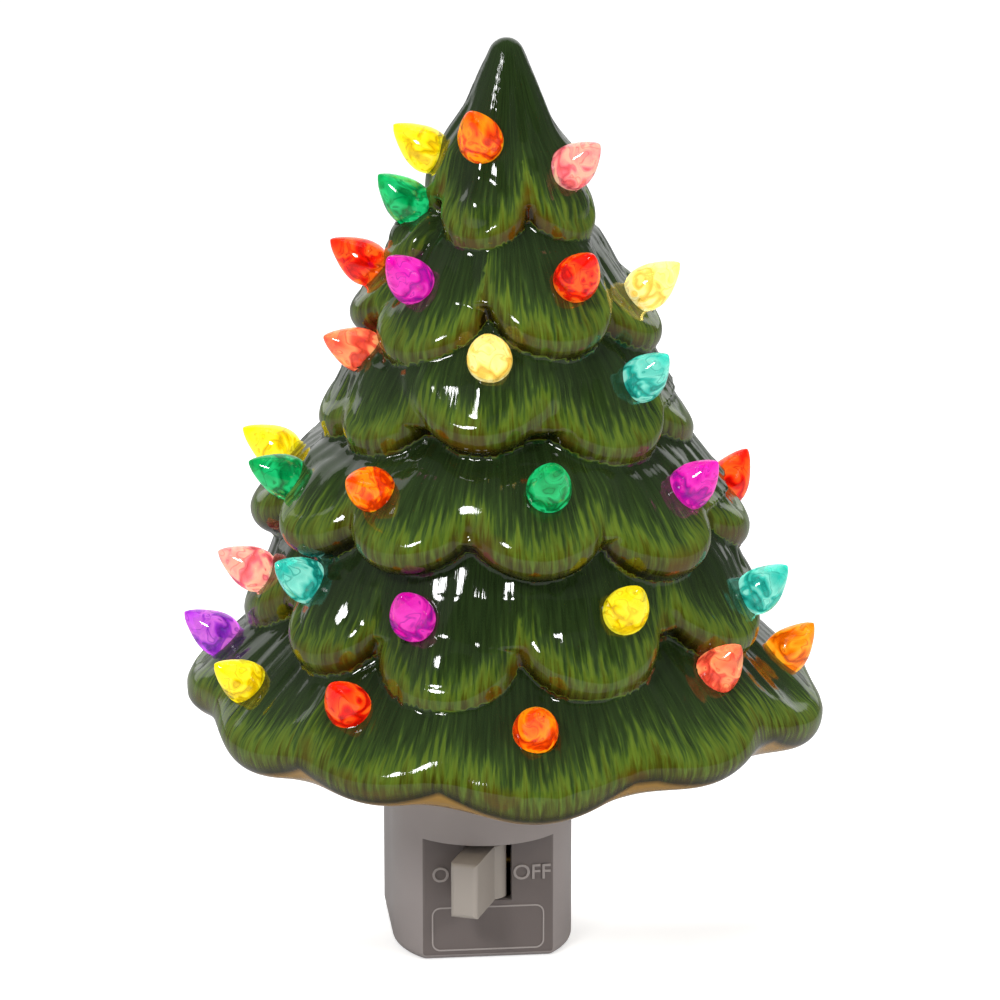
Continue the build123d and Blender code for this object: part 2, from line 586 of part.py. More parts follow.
def socket_shell():
    """Brass screw shell, a thin cup with a hole in its floor."""
    inner = SHELL_RADIUS - SHELL_WALL
    top = SEAT_Z + SHELL_HEIGHT
    floor_z = SEAT_Z + SHELL_WALL
    outside = [(SHELL_HOLE, SEAT_Z), (SHELL_RADIUS, SEAT_Z), (SHELL_RADIUS, top)]
    return LAMP_AXIS * turned_points(outside + [(inner, top), (inner, floor_z), (SHELL_HOLE, floor_z)])


def lamp_cap():
    """Brass cap of the lamp, open at both ends with a lip at the bottom."""
    inner = CAP_RADIUS - CAP_WALL
    outside = [(CAP_HOLE, CAP_Z), (CAP_RADIUS, CAP_Z), (CAP_RADIUS, CAP_TOP_Z)]
    inside = [(inner, CAP_TOP_Z), (inner, CAP_LIP_Z), (CAP_HOLE, CAP_LIP_Z)]
    return LAMP_AXIS * turned_points(outside + inside)


def lamp_insulator():
    """Glass insulator that closes the cap's bottom."""
    neck = CAP_HOLE - FIT
    wide = CAP_RADIUS - CAP_WALL - FIT
    cone = [(0, INSULATOR_Z), (TIP_RADIUS, INSULATOR_Z), (neck, CAP_Z), (neck, CAP_LIP_Z)]
    return LAMP_AXIS * turned_points(cone + [(wide, CAP_LIP_Z), (wide, MOUNT_Z), (0, MOUNT_Z)])


def lamp_tip():
    """Solder contact at the lamp's end."""
    return rod(TIP_RADIUS, (0, -LAMP_DEPTH, LAMP_TIP_Z), (0, -LAMP_DEPTH, INSULATOR_Z))


def glass_line(inset):
    """Half outline of the lamp's glass, moved inwards by the inset."""
    neck = CAP_RADIUS - CAP_WALL - GLASS_GAP - inset
    tall = LAMP_TOP_Z - CAP_TOP_Z
    wide = LAMP_RADIUS - inset
    points = [
        (neck, CAP_TOP_Z),
        (0.62 * wide, CAP_TOP_Z + 0.10 * tall),
        (0.95 * wide, CAP_TOP_Z + 0.29 * tall),
        (wide, CAP_TOP_Z + 0.42 * tall),
        (0.84 * wide, CAP_TOP_Z + 0.64 * tall),
        (0.46 * wide, CAP_TOP_Z + 0.88 * tall),
        (0, LAMP_TOP_Z - inset),
    ]
    return Spline(*points, tangents=[(0, 1), (-1, 0)])


def lamp_glass():
    """Thin glass envelope with a flame-shaped outline."""
    foot = CAP_TOP_Z - GLASS_FOOT
    outer, inner = glass_line(0), glass_line(GLASS_WALL)
    wide, narrow = outer.position_at(0).X, inner.position_at(0).X
    return LAMP_AXIS * turned(
        Line((narrow, foot), (wide, foot)),
        Line((wide, foot), (wide, CAP_TOP_Z)),
        outer,
        Line((0, LAMP_TOP_Z), (0, LAMP_TOP_Z - GLASS_WALL)),
        inner,
        Line((narrow, CAP_TOP_Z), (narrow, foot)),
    )


def lamp_mount():
    """Glass mount inside the lamp that carries the lead wires."""
    return rod(MOUNT_RADIUS, (0, -LAMP_DEPTH, MOUNT_Z), (0, -LAMP_DEPTH, LEAD_Z))


def lamp_lead(side):
    """Lead wire on top of the mount."""
    x = side * LEAD_SPREAD
    return rod(LEAD_RADIUS, (x, -LAMP_DEPTH, LEAD_Z), (x, -LAMP_DEPTH, LEAD_Z + LEAD_LENGTH))


def lamp_filament():
    """Filament arch between the lead wires."""
    path = Plane.XZ * CenterArc((0, 0), LEAD_SPREAD, 0, 180)
    section = Plane(path @ 0, z_dir=path % 0) * Circle(FILAMENT_RADIUS)
    return LAMP_AXIS * Pos(0, 0, LEAD_Z + LEAD_LENGTH) * sweep(section, path)


def all_pieces():
    """Every piece in its place, by node name."""
    shell, seats = tree_shell()
    pieces = {"tree_shell": TREE_BASE * shell}
    light = peg_light()
    for name, seat in seats.items():
        pieces[name] = TREE_BASE * seat.location * light
    for name, (x, z) in screw_places().items():
        pieces["cover_screw_" + name] = cover_screw(x, z)
    pieces["holder_front"] = holder_front()
    pieces["holder_back"] = holder_back()
    pieces["shade_ring"] = shade_ring()
    pieces["switch_lever"] = switch_lever()
    pieces["centre_contact"] = centre_contact()
    pieces["switch_terminal"] = switch_terminal()
    pieces["neutral_strip"] = neutral_strip()
    pieces["blade_neutral"] = plug_blade(-1, NEUTRAL_WIDTH)
    pieces["blade_line"] = plug_blade(1, LINE_WIDTH)
    pieces["socket_sleeve"] = socket_sleeve()
    pieces["socket_shell"] = socket_shell()
    pieces["lamp_cap"] = lamp_cap()
    pieces["lamp_insulator"] = lamp_insulator()
    pieces["lamp_tip"] = lamp_tip()
    pieces["lamp_glass"] = lamp_glass()
    pieces["lamp_mount"] = lamp_mount()
    pieces["lamp_lead_left"] = lamp_lead(-1)
    pieces["lamp_lead_right"] = lamp_lead(1)
    pieces["lamp_filament"] = lamp_filament()
    return pieces


os.makedirs("parts", exist_ok=True)
for node, piece in all_pieces().items():
    export_step(piece, os.path.join("parts", node + ".step"))
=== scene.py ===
"""Looks of a plug-in Christmas tree night light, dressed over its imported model. Metres, +Z up, front at -Y."""

from __future__ import annotations

import json
import logging
import math
from dataclasses import dataclass
from enum import Enum

import bmesh
import bpy
import numpy as np
from mathutils import Matrix, Vector, noise

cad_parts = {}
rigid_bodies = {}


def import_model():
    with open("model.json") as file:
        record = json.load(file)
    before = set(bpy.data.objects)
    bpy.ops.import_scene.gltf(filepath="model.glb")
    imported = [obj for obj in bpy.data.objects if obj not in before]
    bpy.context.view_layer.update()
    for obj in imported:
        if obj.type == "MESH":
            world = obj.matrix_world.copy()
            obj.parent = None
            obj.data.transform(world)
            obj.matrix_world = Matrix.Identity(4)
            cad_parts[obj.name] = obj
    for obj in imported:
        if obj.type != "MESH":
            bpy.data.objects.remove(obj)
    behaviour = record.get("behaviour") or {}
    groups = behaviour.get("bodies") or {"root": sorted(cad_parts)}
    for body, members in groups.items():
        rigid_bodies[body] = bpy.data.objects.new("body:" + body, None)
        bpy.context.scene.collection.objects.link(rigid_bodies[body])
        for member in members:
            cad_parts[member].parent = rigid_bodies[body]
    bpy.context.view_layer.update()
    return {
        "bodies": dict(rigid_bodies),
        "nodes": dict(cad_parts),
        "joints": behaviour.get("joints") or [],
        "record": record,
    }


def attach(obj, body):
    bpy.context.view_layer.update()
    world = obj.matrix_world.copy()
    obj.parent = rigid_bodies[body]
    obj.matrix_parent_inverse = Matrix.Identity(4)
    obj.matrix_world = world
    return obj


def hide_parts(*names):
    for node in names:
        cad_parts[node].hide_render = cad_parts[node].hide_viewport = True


LOG = logging.getLogger("night_light")
MM = 0.001
WELD = 0.002 * MM
FAR = 1e3
BASE = "base"
LEVER = "lever"
TREE_AXIS = (4.5, -19.0)
WHITE = (1.0, 1.0, 1.0, 1.0)
Line = tuple[tuple[float, float], ...]


class Tint(Enum):
    """Colours of the peg lights, as sRGB hex: the deep folds of the plastic, its body and the light in it."""

    YELLOW = ("#a88402", "#e6d40c", "#fff23c")
    ORANGE = ("#941e00", "#ea4a02", "#ffb410")
    PINK = ("#b84650", "#e88088", "#ffd8ac")
    GREEN = ("#004a2a", "#00944e", "#26dc86")
    RED = ("#880200", "#e01606", "#ff7a1c")
    MAGENTA = ("#5c1a86", "#d00c9c", "#ff46c8")
    CREAM = ("#c09a40", "#f2d66e", "#fff6b4")
    SALMON = ("#a03428", "#e65c46", "#ffbe78")
    TEAL = ("#066a62", "#30b4a4", "#a8f6e2")
    PURPLE = ("#4c1a7c", "#9632bc", "#ec7ce0")
    AMBER = ("#984000", "#ea7c04", "#ffc42c")


class Stand(Enum):
    """How a studio card stands: the axis that it is turned about, and its turn in degrees."""

    FLAT = ("X", 0.0)
    FACING = ("X", 90.0)
    SIDEWAYS = ("Y", 90.0)


def linear(code: str) -> tuple[float, float, float, float]:
    """Turns an sRGB hex colour into linear light.

    Args:
        code: Colour as "#rrggbb".

    Returns:
        Red, green, blue and an alpha of 1.
    """
    parts = [int(code[i : i + 2], 16) / 255 for i in (1, 3, 5)]
    light = [v / 12.92 if v <= 0.04045 else ((v + 0.055) / 1.055) ** 2.4 for v in parts]
    return (*light, 1.0)


def add(tree: bpy.types.NodeTree, kind: str, inputs: dict | list | None = None, **settings) -> bpy.types.Node:
    """Adds a shader node with its settings and links.

    Args:
        tree: Node tree that gets the node.
        kind: Blender's node type, without its "ShaderNode" prefix.
        inputs: Input socket, by name or number, to a value or to the output that feeds it. A list fills the
            sockets in their order.
        settings: The node's own properties.

    Returns:
        The new node.
    """
    node = tree.nodes.new("ShaderNode" + kind)
    for name, value in settings.items():
        setattr(node, name, value)
    for key, value in inputs.items() if isinstance(inputs, dict) else enumerate(inputs or ()):
        if isinstance(value, bpy.types.NodeSocket):
            tree.links.new(value, node.inputs[key])
        else:
            node.inputs[key].default_value = value
    return node


def new_material(name: str) -> tuple[bpy.types.Material, bpy.types.NodeTree]:
    """Starts a material with an empty node tree.

    Args:
        name: Name of the real material.

    Returns:
        The material and its node tree.
    """
    material = bpy.data.materials.new(name)
    material.use_nodes = True
    material.node_tree.nodes.clear()
    return material, material.node_tree


def show(tree: bpy.types.NodeTree, shader: bpy.types.Node) -> None:
    """Links a shader node to the material's output."""
    add(tree, "OutputMaterial", {"Surface": shader.outputs[0]})


def piece_from(
    shape: bmesh.types.BMesh, name: str, materials: list[bpy.types.Material], smooth: bool = True
) -> bpy.types.Object:
    """Turns a finished bmesh into an object of the scene.

    Args:
        shape: The mesh, already in its place. It is freed.
        name: Name of the piece.
        materials: Materials by face index.
        smooth: Whether the faces are shaded smooth.

    Returns:
        The object, at the origin.
    """
    mesh = bpy.data.meshes.new(name)
    shape.to_mesh(mesh)
    shape.free()
    for material in materials:
        mesh.materials.append(material)
    if smooth:
        mesh.shade_smooth()
    piece = bpy.data.objects.new(name, mesh)
    bpy.context.scene.collection.objects.link(piece)
    return piece


def shape_of(mesh: bpy.types.Mesh) -> bmesh.types.BMesh:
    """Copies a mesh into a new bmesh.

    Args:
        mesh: The mesh, which stays as it is.

    Returns:
        The copy, which the caller frees.
    """
    shape = bmesh.new()
    shape.from_mesh(mesh)
    return shape


def finished_mesh(piece: bpy.types.Object) -> bpy.types.Mesh:
    """Makes a new mesh of a piece with its modifiers applied."""
    graph = bpy.context.evaluated_depsgraph_get()
    return bpy.data.meshes.new_from_object(piece.evaluated_get(graph))


def points_of(mesh: bpy.types.Mesh) -> np.ndarray:
    """Reads the points of a mesh.

    Args:
        mesh: The mesh.

    Returns:
        Their places in metres, one row for each.
    """
    spots = np.zeros(3 * len(mesh.vertices), np.float32)
    mesh.vertices.foreach_get("co", spots)
    return spots.reshape(-1, 3).astype(float)


def soften(shape: bmesh.types.BMesh, verts: list[bmesh.types.BMVert], steps: int) -> None:
    """Evens out points of a mesh.

    Args:
        shape: The mesh.
        verts: The points that move.
        steps: How often they move half way to the middle of their neighbours.
    """
    for _ in range(steps):
        bmesh.ops.smooth_vert(shape, verts=verts, factor=0.5, use_axis_x=True, use_axis_y=True, use_axis_z=True)


def thicken(shape: bmesh.types.BMesh, faces: list[bmesh.types.BMFace], way: tuple[float, float, float]) -> None:
    """Grows flat faces into a closed body.

    Args:
        shape: The mesh.
        faces: The flat faces, which stay as its end.
        way: How far the other end is from them, in millimetres.
    """
    grown = bmesh.ops.extrude_face_region(shape, geom=faces, use_keep_orig=True)["geom"]
    moved = [part for part in grown if isinstance(part, bmesh.types.BMVert)]
    bmesh.ops.translate(shape, vec=Vector(way) * MM, verts=moved)
    bmesh.ops.recalc_face_normals(shape, faces=shape.faces)


def dress(node: bpy.types.Object, material: bpy.types.Material) -> None:
    """Gives a CAD node its material.

    Args:
        node: The CAD node's object.
        material: The finish it shows.
    """
    if not node.material_slots:
        node.data.materials.append(material)
    for place in node.material_slots:
        place.material = material
    LOG.info("dressed %s in %s", node.name, material.name)


@dataclass(frozen=True)
class GlazedEarthenware:
    """Slip-cast earthenware, brushed with green glazes and fired glossy.

    The eye sees dark bottle green strokes pulled down from the top of every branch, ragged at their ends, a
    lighter yellow green towards the hem and brown where the glaze broke thin. The inside is bare biscuit clay.
    Sizes are in millimetres, and a fall is a height above the branch's hem. Brush hairs are given as how many
    of them fit in a millimetre, across the stroke and along it.
    """

    stroke_width: float = 1.1
    stroke_length: float = 11.0
    stroke_ridge: float = 0.25
    ragged: float = 20.0
    span: float = 24.0
    below: float = 4.0
    roughness: float = 0.06
    hairs: tuple[float, float, float] = (1.5, 0.11, 1.0)
    hair_noise: tuple[float, float] = (0.3, 0.7)
    hair_tone: tuple[float, float] = (0.78, 1.24)
    patch_width: float = 9.0
    patch_noise: tuple[float, float] = (0.52, 0.66)
    patch_strength: float = 0.85
    patch_fall: tuple[float, float] = (2.0, 7.0)
    patch_colour: str = "#4e3a08"
    # Painted shade under the hem: the fall over which it fades in, and its darkest tone.
    painted_shade_fall: tuple[float, float] = (-1.6, 0.8)
    painted_shade_tone: float = 0.22
    # Painted lamp glow under the lowest hem: the fall over which it fades, the height below which it shows, its
    # strength and its amber colour.
    painted_glow_fall: tuple[float, float] = (-2.6, -1.2)
    painted_glow_below: float = 38.0
    painted_glow_strength: float = 0.8
    painted_glow_colour: str = "#9c7634"
    clay_grain: float = 0.7
    clay_colours: tuple[str, str] = ("#b9ad98", "#ded6c6")
    clay_roughness: float = 0.7
    stops: tuple[tuple[float, str], ...] = (
        (0.00, "#2c2a08"),
        (0.15, "#3a3a0a"),
        (0.25, "#434a10"),
        (0.36, "#4f601c"),
        (0.46, "#465a1b"),
        (0.56, "#2f4219"),
        (0.68, "#223114"),
        (1.00, "#1d2b12"),
    )

    def material(self) -> bpy.types.Material:
        """Builds the glaze."""
        material, tree = new_material("glazed_earthenware")
        fall, arc, bare = (
            add(tree, "Attribute", attribute_name=name).outputs["Fac"] for name in ("fall", "arc", "bare")
        )
        spot = add(tree, "TexCoord").outputs["Object"]
        place = add(tree, "CombineXYZ", [arc, fall]).outputs[0]
        stroke_size = (1 / self.stroke_width, 1 / self.stroke_length, 1)
        brushes = []
        for size, detail, rough in ((stroke_size, 3.0, 0.6), (self.hairs, 2.0, 0.5)):
            along = add(tree, "Mapping", {"Vector": place, "Scale": size}).outputs[0]
            marks = {"Vector": along, "Scale": 1.0, "Detail": detail, "Roughness": rough}
            brushes.append(add(tree, "TexNoise", marks, noise_dimensions="2D").outputs["Fac"])
        strokes, hairs = brushes
        offset = self.below - 0.5 * self.ragged
        shifted = add(tree, "Math", [strokes, self.ragged, offset], operation="MULTIPLY_ADD").outputs[0]
        level = add(tree, "Math", [fall, shifted], operation="ADD").outputs[0]
        share = add(tree, "Math", [level, self.span], operation="DIVIDE", use_clamp=True).outputs[0]
        ramp = add(tree, "ValToRGB", [share])
        ends = ramp.color_ramp.elements
        for stop, code in self.stops[1:-1]:
            ends.new(stop).color = linear(code)
        ends[0].color = linear(self.stops[0][1])
        ends[-1].color = linear(self.stops[-1][1])
        # Single brush hairs, lighter and darker, over the whole stroke.
        tone = add(tree, "MapRange", [hairs, *self.hair_noise, *self.hair_tone]).outputs[0]
        brushed = {0: 1.0, 6: ramp.outputs[0], 7: tone}
        colour = add(tree, "Mix", brushed, data_type="RGBA", blend_type="MULTIPLY").outputs[2]
        # Brown patches near the hem, where the glaze ran thin.
        patches = add(tree, "TexNoise", {"Vector": spot, "Scale": 1 / (self.patch_width * MM), "Detail": 3.0})
        noisy = patches.outputs["Fac"]
        broken = add(tree, "MapRange", [noisy, *self.patch_noise, 0.0, self.patch_strength]).outputs[0]
        low = add(tree, "MapRange", [fall, *self.patch_fall, 1.0, 0.0]).outputs[0]
        thin = add(tree, "Math", [broken, low], operation="MULTIPLY").outputs[0]
        colour = add(tree, "Mix", {0: thin, 6: colour, 7: linear(self.patch_colour)}, data_type="RGBA").outputs[2]
        # Painted shade: the colour darkens at the hem's lower edge and beneath it, where the skirt shades itself.
        under_hem_shade = add(tree, "MapRange", [fall, *self.painted_shade_fall, self.painted_shade_tone, 1.0]).outputs[0]
        under_hem_shaded = {0: 1.0, 6: colour, 7: under_hem_shade}
        colour = add(tree, "Mix", under_hem_shaded, data_type="RGBA", blend_type="MULTIPLY").outputs[2]
        # Painted lamp glow: a thin amber line under the lowest hem, where light from the lamp inside comes out through
        # the gap.
        height = add(tree, "SeparateXYZ", [spot]).outputs["Z"]
        lowest = add(tree, "Math", [height, self.painted_glow_below * MM], operation="LESS_THAN").outputs[0]
        painted_glow = add(tree, "MapRange", [fall, *self.painted_glow_fall, self.painted_glow_strength, 0.0]).outputs[0]
        edge = add(tree, "Math", [lowest, painted_glow], operation="MULTIPLY").outputs[0]
        colour = add(tree, "Mix", {0: edge, 6: colour, 7: linear(self.painted_glow_colour)}, data_type="RGBA").outputs[2]
        # The bare clay is grainy and dull.
        grains = add(tree, "TexNoise", {"Vector": spot, "Scale": 1 / (self.clay_grain * MM), "Detail": 2.0})
        dark, pale = (linear(code) for code in self.clay_colours)
        clay = add(tree, "Mix", {0: grains.outputs["Fac"], 6: dark, 7: pale}, data_type="RGBA").outputs[2]
        colour = add(tree, "Mix", {0: bare, 6: colour, 7: clay}, data_type="RGBA").outputs[2]
        rough = add(tree, "MapRange", [bare, 0.0, 1.0, self.roughness, self.clay_roughness]).outputs[0]
        ridges = add(tree, "Bump", {"Height": strokes, "Strength": 0.12, "Distance": self.stroke_ridge * MM})
        surface = {"Base Color": colour, "Roughness": rough, "IOR": 1.52, "Normal": ridges.outputs[0]}
        show(tree, add(tree, "BsdfPrincipled", surface))
        return material


@dataclass(frozen=True)
class TintedStyrene:
    """Clear polystyrene with a dye, moulded glossy, lit from behind through its stem.

    The eye sees a saturated body, bright at its tip and its foot, with dark swirls and thin dark lines where the
    light turns inside the plastic. Sizes are in millimetres.
    """

    tint: Tint
    roughness: float = 0.06
    swirl: float = 4.8
    bend: float = 1.1
    rings: float = 16.0
    line_width: float = 0.35
    line_depth: float = 0.75
    darkest: float = 0.45
    clearness: float = 0.8
    glow: float = 0.66
    core_glow: float = 0.3
    blots_per_mm: float = 0.6
    blot_noise: tuple[float, float] = (0.42, 0.58)

    def skin(self) -> bpy.types.Material:
        """Builds the outside of a peg light."""
        deep, body, lit = (linear(code) for code in self.tint.value)
        material, tree = new_material(f"tinted_styrene_{self.tint.name.lower()}")
        own = add(tree, "Attribute", attribute_name="own").outputs["Vector"]
        seed, ring, high = (
            add(tree, "Attribute", attribute_name=name).outputs["Fac"] for name in ("seed", "ring", "high")
        )
        swirls = {"Vector": own, "W": seed, "Scale": 1 / self.swirl, "Detail": 1.0, "Distortion": 1.6}
        clouds = add(tree, "TexNoise", swirls, noise_dimensions="4D").outputs["Fac"]
        # Light gathers in the tip and the foot, with a dark band between them, all bent by the swirls.
        bent = add(tree, "Math", [clouds, self.bend, -0.5 * self.bend], operation="MULTIPLY_ADD").outputs[0]
        place = add(tree, "Math", [high, bent], operation="ADD", use_clamp=True).outputs[0]
        bands = add(tree, "ValToRGB", [place])
        ends = bands.color_ramp.elements
        dark = (*(self.darkest * v for v in deep[:3]), 1.0)
        foot = ((0.1, lit), (0.2, lit), (0.3, body), (0.4, deep))
        for stop, colour in (*foot, (0.46, dark), (0.53, body), (0.66, lit)):
            ends.new(stop).color = colour
        ends[0].color = body
        ends[-1].color = body
        # Thin dark lines where the bent rings turn over.
        rings = add(tree, "Math", [clouds, self.rings, ring], operation="MULTIPLY_ADD").outputs[0]
        wave = add(tree, "Math", [rings], operation="SINE").outputs[0]
        fold = add(tree, "Math", [wave], operation="ABSOLUTE").outputs[0]
        line = add(tree, "MapRange", [fold, 0.0, self.line_width, self.line_depth, 0.0]).outputs[0]
        glow = add(tree, "Mix", {0: line, 6: bands.outputs[0], 7: deep}, data_type="RGBA").outputs[2]
        surface = {"Base Color": body, "Roughness": self.roughness, "IOR": 1.59, "Transmission Weight": self.clearness}
        light = {"Emission Color": glow, "Emission Strength": self.glow}
        show(tree, add(tree, "BsdfPrincipled", surface | light))
        return material

    def core(self) -> bpy.types.Material:
        """Builds the lit inside that shows through the skin."""
        deep, body, lit = (linear(code) for code in self.tint.value)
        material, tree = new_material(f"lit_styrene_{self.tint.name.lower()}")
        high = add(tree, "Attribute", attribute_name="high").outputs["Fac"]
        own = add(tree, "Attribute", attribute_name="own").outputs["Vector"]
        blots = add(tree, "TexNoise", {"Vector": own, "Scale": self.blots_per_mm, "Detail": 1.0}).outputs["Fac"]
        patch = add(tree, "MapRange", [blots, *self.blot_noise]).outputs[0]
        warm = add(tree, "Mix", {0: patch, 6: deep, 7: lit}, data_type="RGBA").outputs[2]
        glow = add(tree, "Mix", {0: high, 6: warm, 7: body}, data_type="RGBA").outputs[2]
        light = {"Emission Color": glow, "Emission Strength": self.core_glow}
        show(tree, add(tree, "BsdfPrincipled", {"Base Color": deep, "Roughness": 0.2} | light))
        return material


@dataclass(frozen=True)
class MouldedPlastic:
    """Injection-moulded ABS with a fine spark texture.

    The eye sees a soft satin sheen, a grain of fine pits, drawn coarser than the real ones so that it shows, and
    faint cloudy flow marks. A switch plate is given by its place along Y and its upper edge. Millimetres.
    """

    name: str
    colour: str
    shade: str
    roughness: float = 0.42
    pit: float = 0.22
    pit_depth: float = 0.06
    flow: float = 14.0
    plate: tuple[float, float] | None = None
    plate_reach: float = 0.12
    plate_tone: str = "#bdb8b6"
    uneven: tuple[float, float] = (-0.05, 0.07)

    def material(self) -> bpy.types.Material:
        """Builds the plastic, darker on its switch plate where it has one."""
        material, tree = new_material(self.name)
        spot = add(tree, "TexCoord").outputs["Object"]
        flow = add(tree, "TexNoise", {"Vector": spot, "Scale": 1 / (self.flow * MM), "Detail": 2.0}).outputs["Fac"]
        tones = {0: flow, 6: linear(self.shade), 7: linear(self.colour)}
        colour = add(tree, "Mix", tones, data_type="RGBA").outputs[2]
        if self.plate:
            level, top = (value * MM for value in self.plate)
            axes = add(tree, "SeparateXYZ", [spot]).outputs
            flat = add(tree, "Math", [axes["Y"], level, self.plate_reach * MM], operation="COMPARE").outputs[0]
            below = add(tree, "Math", [axes["Z"], top], operation="LESS_THAN").outputs[0]
            on_plate = add(tree, "Math", [flat, below], operation="MULTIPLY").outputs[0]
            tones = {0: on_plate, 6: colour, 7: linear(self.plate_tone)}
            colour = add(tree, "Mix", tones, data_type="RGBA", blend_type="MULTIPLY").outputs[2]
        pits = add(tree, "TexNoise", {"Vector": spot, "Scale": 1 / (self.pit * MM), "Detail": 1.0}).outputs["Fac"]
        grain = add(tree, "Bump", {"Height": pits, "Strength": 0.18, "Distance": self.pit_depth * MM}).outputs[0]
        spread = [self.roughness + more for more in self.uneven]
        rough = add(tree, "MapRange", [pits, 0.0, 1.0, *spread]).outputs[0]
        surface = {"Base Color": colour, "Roughness": rough, "IOR": 1.53, "Normal": grain}
        show(tree, add(tree, "BsdfPrincipled", surface))
        return material


@dataclass(frozen=True)
class DrawnMetal:
    """Sheet or wire drawn through rollers, with fine lines along one way.

    The eye sees a soft streaky shine, a little darker where fingers and air have dulled it. Sizes are in
    millimetres, and the lines are drawn coarser than the real ones so that they show.
    """

    name: str
    colour: str
    dull: str
    roughness: float = 0.28
    line_width: float = 0.15
    line_length: float = 4.0
    cloud: float = 5.0
    uneven: tuple[float, float] = (-0.08, 0.12)

    def material(self) -> bpy.types.Material:
        """Builds the metal."""
        material, tree = new_material(self.name)
        spot = add(tree, "TexCoord").outputs["Object"]
        across, along = 1 / (self.line_width * MM), 1 / (self.line_length * MM)
        drawn = add(tree, "Mapping", {"Vector": spot, "Scale": (across, along, across)}).outputs[0]
        lines = add(tree, "TexNoise", {"Vector": drawn, "Scale": 1.0, "Detail": 2.0}).outputs["Fac"]
        cloud = add(tree, "TexNoise", {"Vector": spot, "Scale": 1 / (self.cloud * MM), "Detail": 3.0}).outputs["Fac"]
        tones = {0: cloud, 6: linear(self.dull), 7: linear(self.colour)}
        colour = add(tree, "Mix", tones, data_type="RGBA").outputs[2]
        spread = [self.roughness + more for more in self.uneven]
        rough = add(tree, "MapRange", [lines, 0.0, 1.0, *spread]).outputs[0]
        show(tree, add(tree, "BsdfPrincipled", {"Base Color": colour, "Metallic": 1.0, "Roughness": rough}))
        return material


@dataclass(frozen=True)
class BlownGlass:
    """Clear soda-lime glass of a small lamp, with faint waves from the blowing. Millimetres."""

    wave: float = 6.0
    wave_depth: float = 0.2

    def material(self) -> bpy.types.Material:
        """Builds the glass."""
        material, tree = new_material("soda_lime_glass")
        spot = add(tree, "TexCoord").outputs["Object"]
        waves = add(tree, "TexNoise", {"Vector": spot, "Scale": 1 / (self.wave * MM), "Detail": 1.0}).outputs["Fac"]
        ripple = add(tree, "Bump", {"Height": waves, "Strength": 0.1, "Distance": self.wave_depth * MM}).outputs[0]
        surface = {"Base Color": linear("#fbfaf4"), "Roughness": 0.02, "IOR": 1.52, "Normal": ripple}
        show(tree, add(tree, "BsdfPrincipled", surface | {"Transmission Weight": 1.0}))
        return material


@dataclass(frozen=True)
class BlackGlass:
    """Dark pressed glass that insulates the lamp's cap, glossy with fine grey specks. Millimetres."""

    speck: float = 0.5

    def material(self) -> bpy.types.Material:
        """Builds the insulator's glass."""
        material, tree = new_material("pressed_black_glass")
        spot = add(tree, "TexCoord").outputs["Object"]
        specks = add(tree, "TexNoise", {"Vector": spot, "Scale": 1 / (self.speck * MM), "Detail": 2.0}).outputs["Fac"]
        tones = {0: specks, 6: linear("#0b0b10"), 7: linear("#24242c")}
        colour = add(tree, "Mix", tones, data_type="RGBA").outputs[2]
        show(tree, add(tree, "BsdfPrincipled", {"Base Color": colour, "Roughness": 0.12, "IOR": 1.55}))
        return material


@dataclass(frozen=True)
class GlowingTungsten:
    """Tungsten wire at a warm heat, brighter in bands along its turns. Millimetres."""

    band: float = 2.0

    def material(self) -> bpy.types.Material:
        """Builds the filament."""
        material, tree = new_material("glowing_tungsten")
        spot = add(tree, "TexCoord").outputs["Object"]
        turns = add(tree, "TexWave", {"Vector": spot, "Scale": 1 / (self.band * MM), "Distortion": 0.0}).outputs["Fac"]
        tones = {0: turns, 6: linear("#ff9a3c"), 7: linear("#ffe0a0")}
        heat = add(tree, "Mix", tones, data_type="RGBA").outputs[2]
        surface = {"Base Color": linear("#6a4a2a"), "Roughness": 0.5}
        light = {"Emission Color": heat, "Emission Strength": 6.0}
        show(tree, add(tree, "BsdfPrincipled", surface | light))
        return material


def blend(first: np.ndarray, second: np.ndarray, width: np.ndarray | float) -> np.ndarray:
    """Joins two forms given by their distances, with a soft fillet where they meet.

    Args:
        first: Distances to the first form, below zero inside it.
        second: Distances to the second form.
        width: Width of the fillet.

    Returns:
        Distances to the joined form.
    """
    share = np.clip(0.5 + 0.5 * (second - first) / width, 0, 1)
    return second + (first - second) * share - width * share * (1 - share)


def away_of(spots: np.ndarray) -> np.ndarray:
    """Finds how far points are from the tree's axis."""
    return np.hypot(spots[:, 0], spots[:, 1])


def turn_of(spots: np.ndarray) -> np.ndarray:
    """Finds the angles of points round the tree, in degrees from the front."""
    return np.degrees(np.arctan2(spots[:, 0], -spots[:, 1]))


def angles_from(turns: np.ndarray, middle: float) -> np.ndarray:
    """Finds how far angles are from a middle one, between -180 and 180 degrees."""
    return (turns - middle + 180) % 360 - 180


